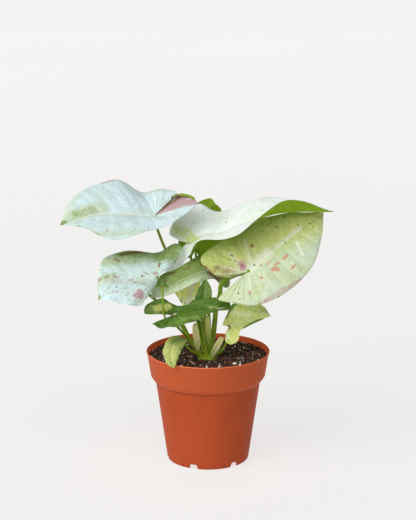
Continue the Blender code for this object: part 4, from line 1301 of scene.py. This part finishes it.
def build_crown():
    """A lumpy knob, by shares of its radius and heights above the mix, patched with the petioles' green."""
    shares = [(0.0, CROWN_H), (0.45, CROWN_H * 0.85), (0.8, 3.0), (1.0, 0.0), (0.93, -3.0), (0.8, -8.0),
              (0.5, -CROWN_ROOT), (0.0, -CROWN_ROOT)]
    profile = softened([(CROWN_R * share, SOIL_TOP + up) for share, up in shares], 3.0, 5)
    ob = turned("crown", [(r * MM, z * MM) for r, z in profile], 64)
    ob.data.transform(Matrix.Translation((CROWN[0] * MM, CROWN[1] * MM, 0.0)))
    for v in ob.data.vertices:
        lump = noise.fractal(v.co / MM * 0.25, 1.0, 2.0, 3)
        away = Vector((v.co.x - CROWN[0] * MM, v.co.y - CROWN[1] * MM, 0.0))
        v.co += away * 0.12 * lump
    ob.data.uv_layers.new(name="UVMap")
    patches = [0.35 + 0.9 * noise.noise(v.co / MM * 0.45) for v in ob.data.vertices]
    paint(ob.data, "clasp", np.clip(patches, 0, 1))
    return ob


def build_stems():
    green = stem_material()
    crown = build_crown()
    crown.data.materials.append(green)
    settle(crown, "stem", "stems")
    for name, foot_w, head_w, route in PETIOLES:
        ob = build_petiole(name, foot_w, head_w, route)
        ob.data.materials.append(green)
        settle(ob, "stem")


def build_sheaths():
    """Dry leaf sheaths and the shoot: short pointed strips, bowed round the stems behind them."""
    for name, foot, head, widths, finish in SHEATHS:
        foot, head = np.array(foot, float), np.array(head, float)
        along = head - foot
        across = np.array((1.0, 0.0, -along[0] / along[2]))
        ribs = [(foot, widths[0]), (foot + along * 0.35, widths[1]), (foot + along * 0.7, widths[1]),
                (head, widths[2])]
        leaf = dict(
            junction=foot, midrib=[foot + along / 2, head + along * 0.08], roots=PLAIN, cup=0.1,
            left=[middle - across * width / 2 for middle, width in ribs],
            right=[middle + across * width / 2 for middle, width in ribs])
        ob = build_blade(name, leaf, dict(COMMON_LOOK, quilt=0.4, veins=2, wave=0.15), 20, 12)
        surface = sheath_material(finish)
        ob.data.materials.append(surface)
        ob.data.materials.append(surface)
        settle(ob, finish, name)


# Rows for each rib and rings from the midrib out, of the large blades, which come first, and the others.
FINE_MESH, PLAIN_MESH, LARGE_BLADES = (24, 26), (16, 16), 6


def build_leaves():
    for seed, (name, leaf) in enumerate(BLADES.items()):
        look = dict(COMMON_LOOK, **LOOKS[name])
        ob = build_blade(name, leaf, look, *(FINE_MESH if seed < LARGE_BLADES else PLAIN_MESH))
        kinds = MARKS.get(name, {})
        ob.data.materials.append(blade_material(name + "_upper", look, seed * 3.7, kinds))
        ob.data.materials.append(underside_material(name + "_under", look, seed * 3.7, kinds))
        settle(ob, leaf["slot"], name)


# Stage.


def stage_material():
    """Translucent studio paper, partly lit from behind, so that shadows on it stay faint."""
    mat, bench, shader = fresh_material("studio_paper")
    place = bench.place()
    stage = settings().stage
    drift = bench.fade(bench.speckle(place, 3.0, 2.0, 0.5, 0.2), 0.3, 0.7)
    tone = bench.blend(drift, *(tuple(c * share for c in stage.floor) for share in (0.20, 0.21)))
    near, far = (tuple(c * stage.glow * share for c in stage.floor) for share in (1.03, 1.13))
    light = bench.blend(bench.fade(bench.axis(place, "Y"), -0.6, 2.4), near, far)
    fuzz = bench.speckle(place, 900.0, 2.0)
    wire(bench, shader, tone, (fuzz, 0.3, 0.7, 0.85, 0.95), None, glow=(light, 1.0))
    return mat


def area_light(name, power, size, place, aim, tint):
    lamp = bpy.data.lights.new(name, "AREA")
    lamp.energy = power
    lamp.size = size
    lamp.color = tint
    ob = add_object(name, lamp)
    ob.location = place
    ob.rotation_mode = "QUATERNION"
    ob.rotation_quaternion = (Vector(aim) - Vector(place)).to_track_quat("-Z", "Y")


# The sweep, in metres: its length along the floor and up, half its width, how far in front of the plant it
# starts, where it bends up along its length, and that bend's radius.
SWEEP_RUN, SWEEP_HALF, SWEEP_FRONT, SWEEP_FLAT, SWEEP_BEND = 9.0, 5.0, 2.0, 5.5, 1.2
MIDDLE = (0.0, 0.0, 0.15)


def build_stage():
    """A pale sweep that rises far behind the plant, one soft key at the upper left and even room light."""
    stage = settings().stage
    bm = bmesh.new()
    bmesh.ops.create_grid(bm, x_segments=2, y_segments=60, size=1.0)
    for v in bm.verts:
        run = (v.co.y + 1) / 2 * SWEEP_RUN
        turn = min(max((run - SWEEP_FLAT) / SWEEP_BEND, 0.0), math.pi / 2)
        y = min(run, SWEEP_FLAT) - SWEEP_FRONT + SWEEP_BEND * math.sin(turn)
        z = SWEEP_BEND * (1 - math.cos(turn)) + max(run - SWEEP_FLAT - SWEEP_BEND * math.pi / 2, 0.0)
        v.co = Vector((v.co.x * SWEEP_HALF, y, z))
    sweep = add_object("sweep", mesh_from("sweep", bm))
    sweep.data.shade_smooth()
    sweep.data.materials.append(stage_material())
    area_light("key", stage.key, 4.0, (-2.8, -2.5, 2.7), MIDDLE, (1.0, 0.985, 0.955))
    area_light("fill", stage.fill, 2.6, (0.6, -2.2, 3.2), MIDDLE, (0.97, 0.99, 1.0))
    world = bpy.data.worlds.new("room")
    world.use_nodes = True
    light = world.node_tree.nodes["Background"].inputs
    light["Color"].default_value = (0.95, 0.98, 1.0, 1.0)
    light["Strength"].default_value = stage.sky
    bpy.context.scene.world = world
    bpy.context.scene.view_settings.view_transform = "Standard"
    eye = bpy.data.cameras.new("camera")
    eye.lens = stage.lens
    eye.sensor_width = 36.0
    ob = add_object("camera", eye)
    back, up = stage.distance * math.cos(stage.tilt), stage.distance * math.sin(stage.tilt)
    ob.location = (0.0, -back, stage.aim + up)
    ob.rotation_euler = (math.pi / 2 - stage.tilt, 0.0, 0.0)
    bpy.context.scene.camera = ob


# Operators and panel.


class SYNGONIUM_OT_pot(bpy.types.Operator):
    """Turn the nursery pot and cut its notches, vents and drains"""
    bl_idname = "syngonium.pot"
    bl_label = "Nursery pot"

    def execute(self, context):
        build_pot()
        return {"FINISHED"}


class SYNGONIUM_OT_soil(bpy.types.Operator):
    """Fill the pot with potting mix, crumbs and perlite"""
    bl_idname = "syngonium.soil"
    bl_label = "Potting mix"

    def execute(self, context):
        build_soil()
        return {"FINISHED"}


class SYNGONIUM_OT_stems(bpy.types.Operator):
    """Grow the crown and one petiole for each leaf"""
    bl_idname = "syngonium.stems"
    bl_label = "Crown and petioles"

    def execute(self, context):
        build_stems()
        return {"FINISHED"}


class SYNGONIUM_OT_leaves(bpy.types.Operator):
    """Grow the twelve leaf blades with their own mottling"""
    bl_idname = "syngonium.leaves"
    bl_label = "Leaves"

    def execute(self, context):
        build_leaves()
        return {"FINISHED"}


class SYNGONIUM_OT_sheaths(bpy.types.Operator):
    """Add the dry sheaths and the young shoot"""
    bl_idname = "syngonium.sheaths"
    bl_label = "Sheaths and shoot"

    def execute(self, context):
        build_sheaths()
        return {"FINISHED"}


class SYNGONIUM_OT_stage(bpy.types.Operator):
    """Set the pale sweep, the soft lights and the camera"""
    bl_idname = "syngonium.stage"
    bl_label = "Stage"

    def execute(self, context):
        build_stage()
        return {"FINISHED"}


class SYNGONIUM_PT_panel(bpy.types.Panel):
    """Sizes, colours and the steps that build the plant"""
    bl_label = "Potted syngonium"
    bl_space_type = "VIEW_3D"
    bl_region_type = "UI"
    bl_category = "Syngonium"

    def draw(self, context):
        plant = context.scene.syngonium
        parts = (("pot", plant.pot), ("soil", plant.soil), ("stems", plant.stem), ("leaves", plant.leaf),
                 ("sheaths", None), ("stage", plant.stage))
        for step, values in parts:
            box = self.layout.box()
            box.operator("syngonium." + step)
            for field in (values.bl_rna.properties if values else ()):
                if field.identifier not in ("rna_type", "name"):
                    box.prop(values, field.identifier)


CLASSES = (PotSettings, SoilSettings, LeafSettings, StemSettings, StageSettings, PlantSettings,
           SYNGONIUM_OT_pot, SYNGONIUM_OT_soil, SYNGONIUM_OT_stems, SYNGONIUM_OT_leaves,
           SYNGONIUM_OT_sheaths, SYNGONIUM_OT_stage, SYNGONIUM_PT_panel)


def register():
    for cls in CLASSES:
        bpy.utils.register_class(cls)
    bpy.types.Scene.syngonium = PointerProperty(type=PlantSettings, name="Syngonium",
                                                description="Sizes and colours of the plant")


def unregister():
    del bpy.types.Scene.syngonium
    for cls in reversed(CLASSES):
        bpy.utils.unregister_class(cls)


def main():
    register()
    build_groups()
    bpy.ops.syngonium.stage()
    bpy.ops.syngonium.pot()
    bpy.ops.syngonium.soil()
    bpy.ops.syngonium.stems()
    bpy.ops.syngonium.leaves()
    bpy.ops.syngonium.sheaths()


if __name__ == "__main__":
    main()
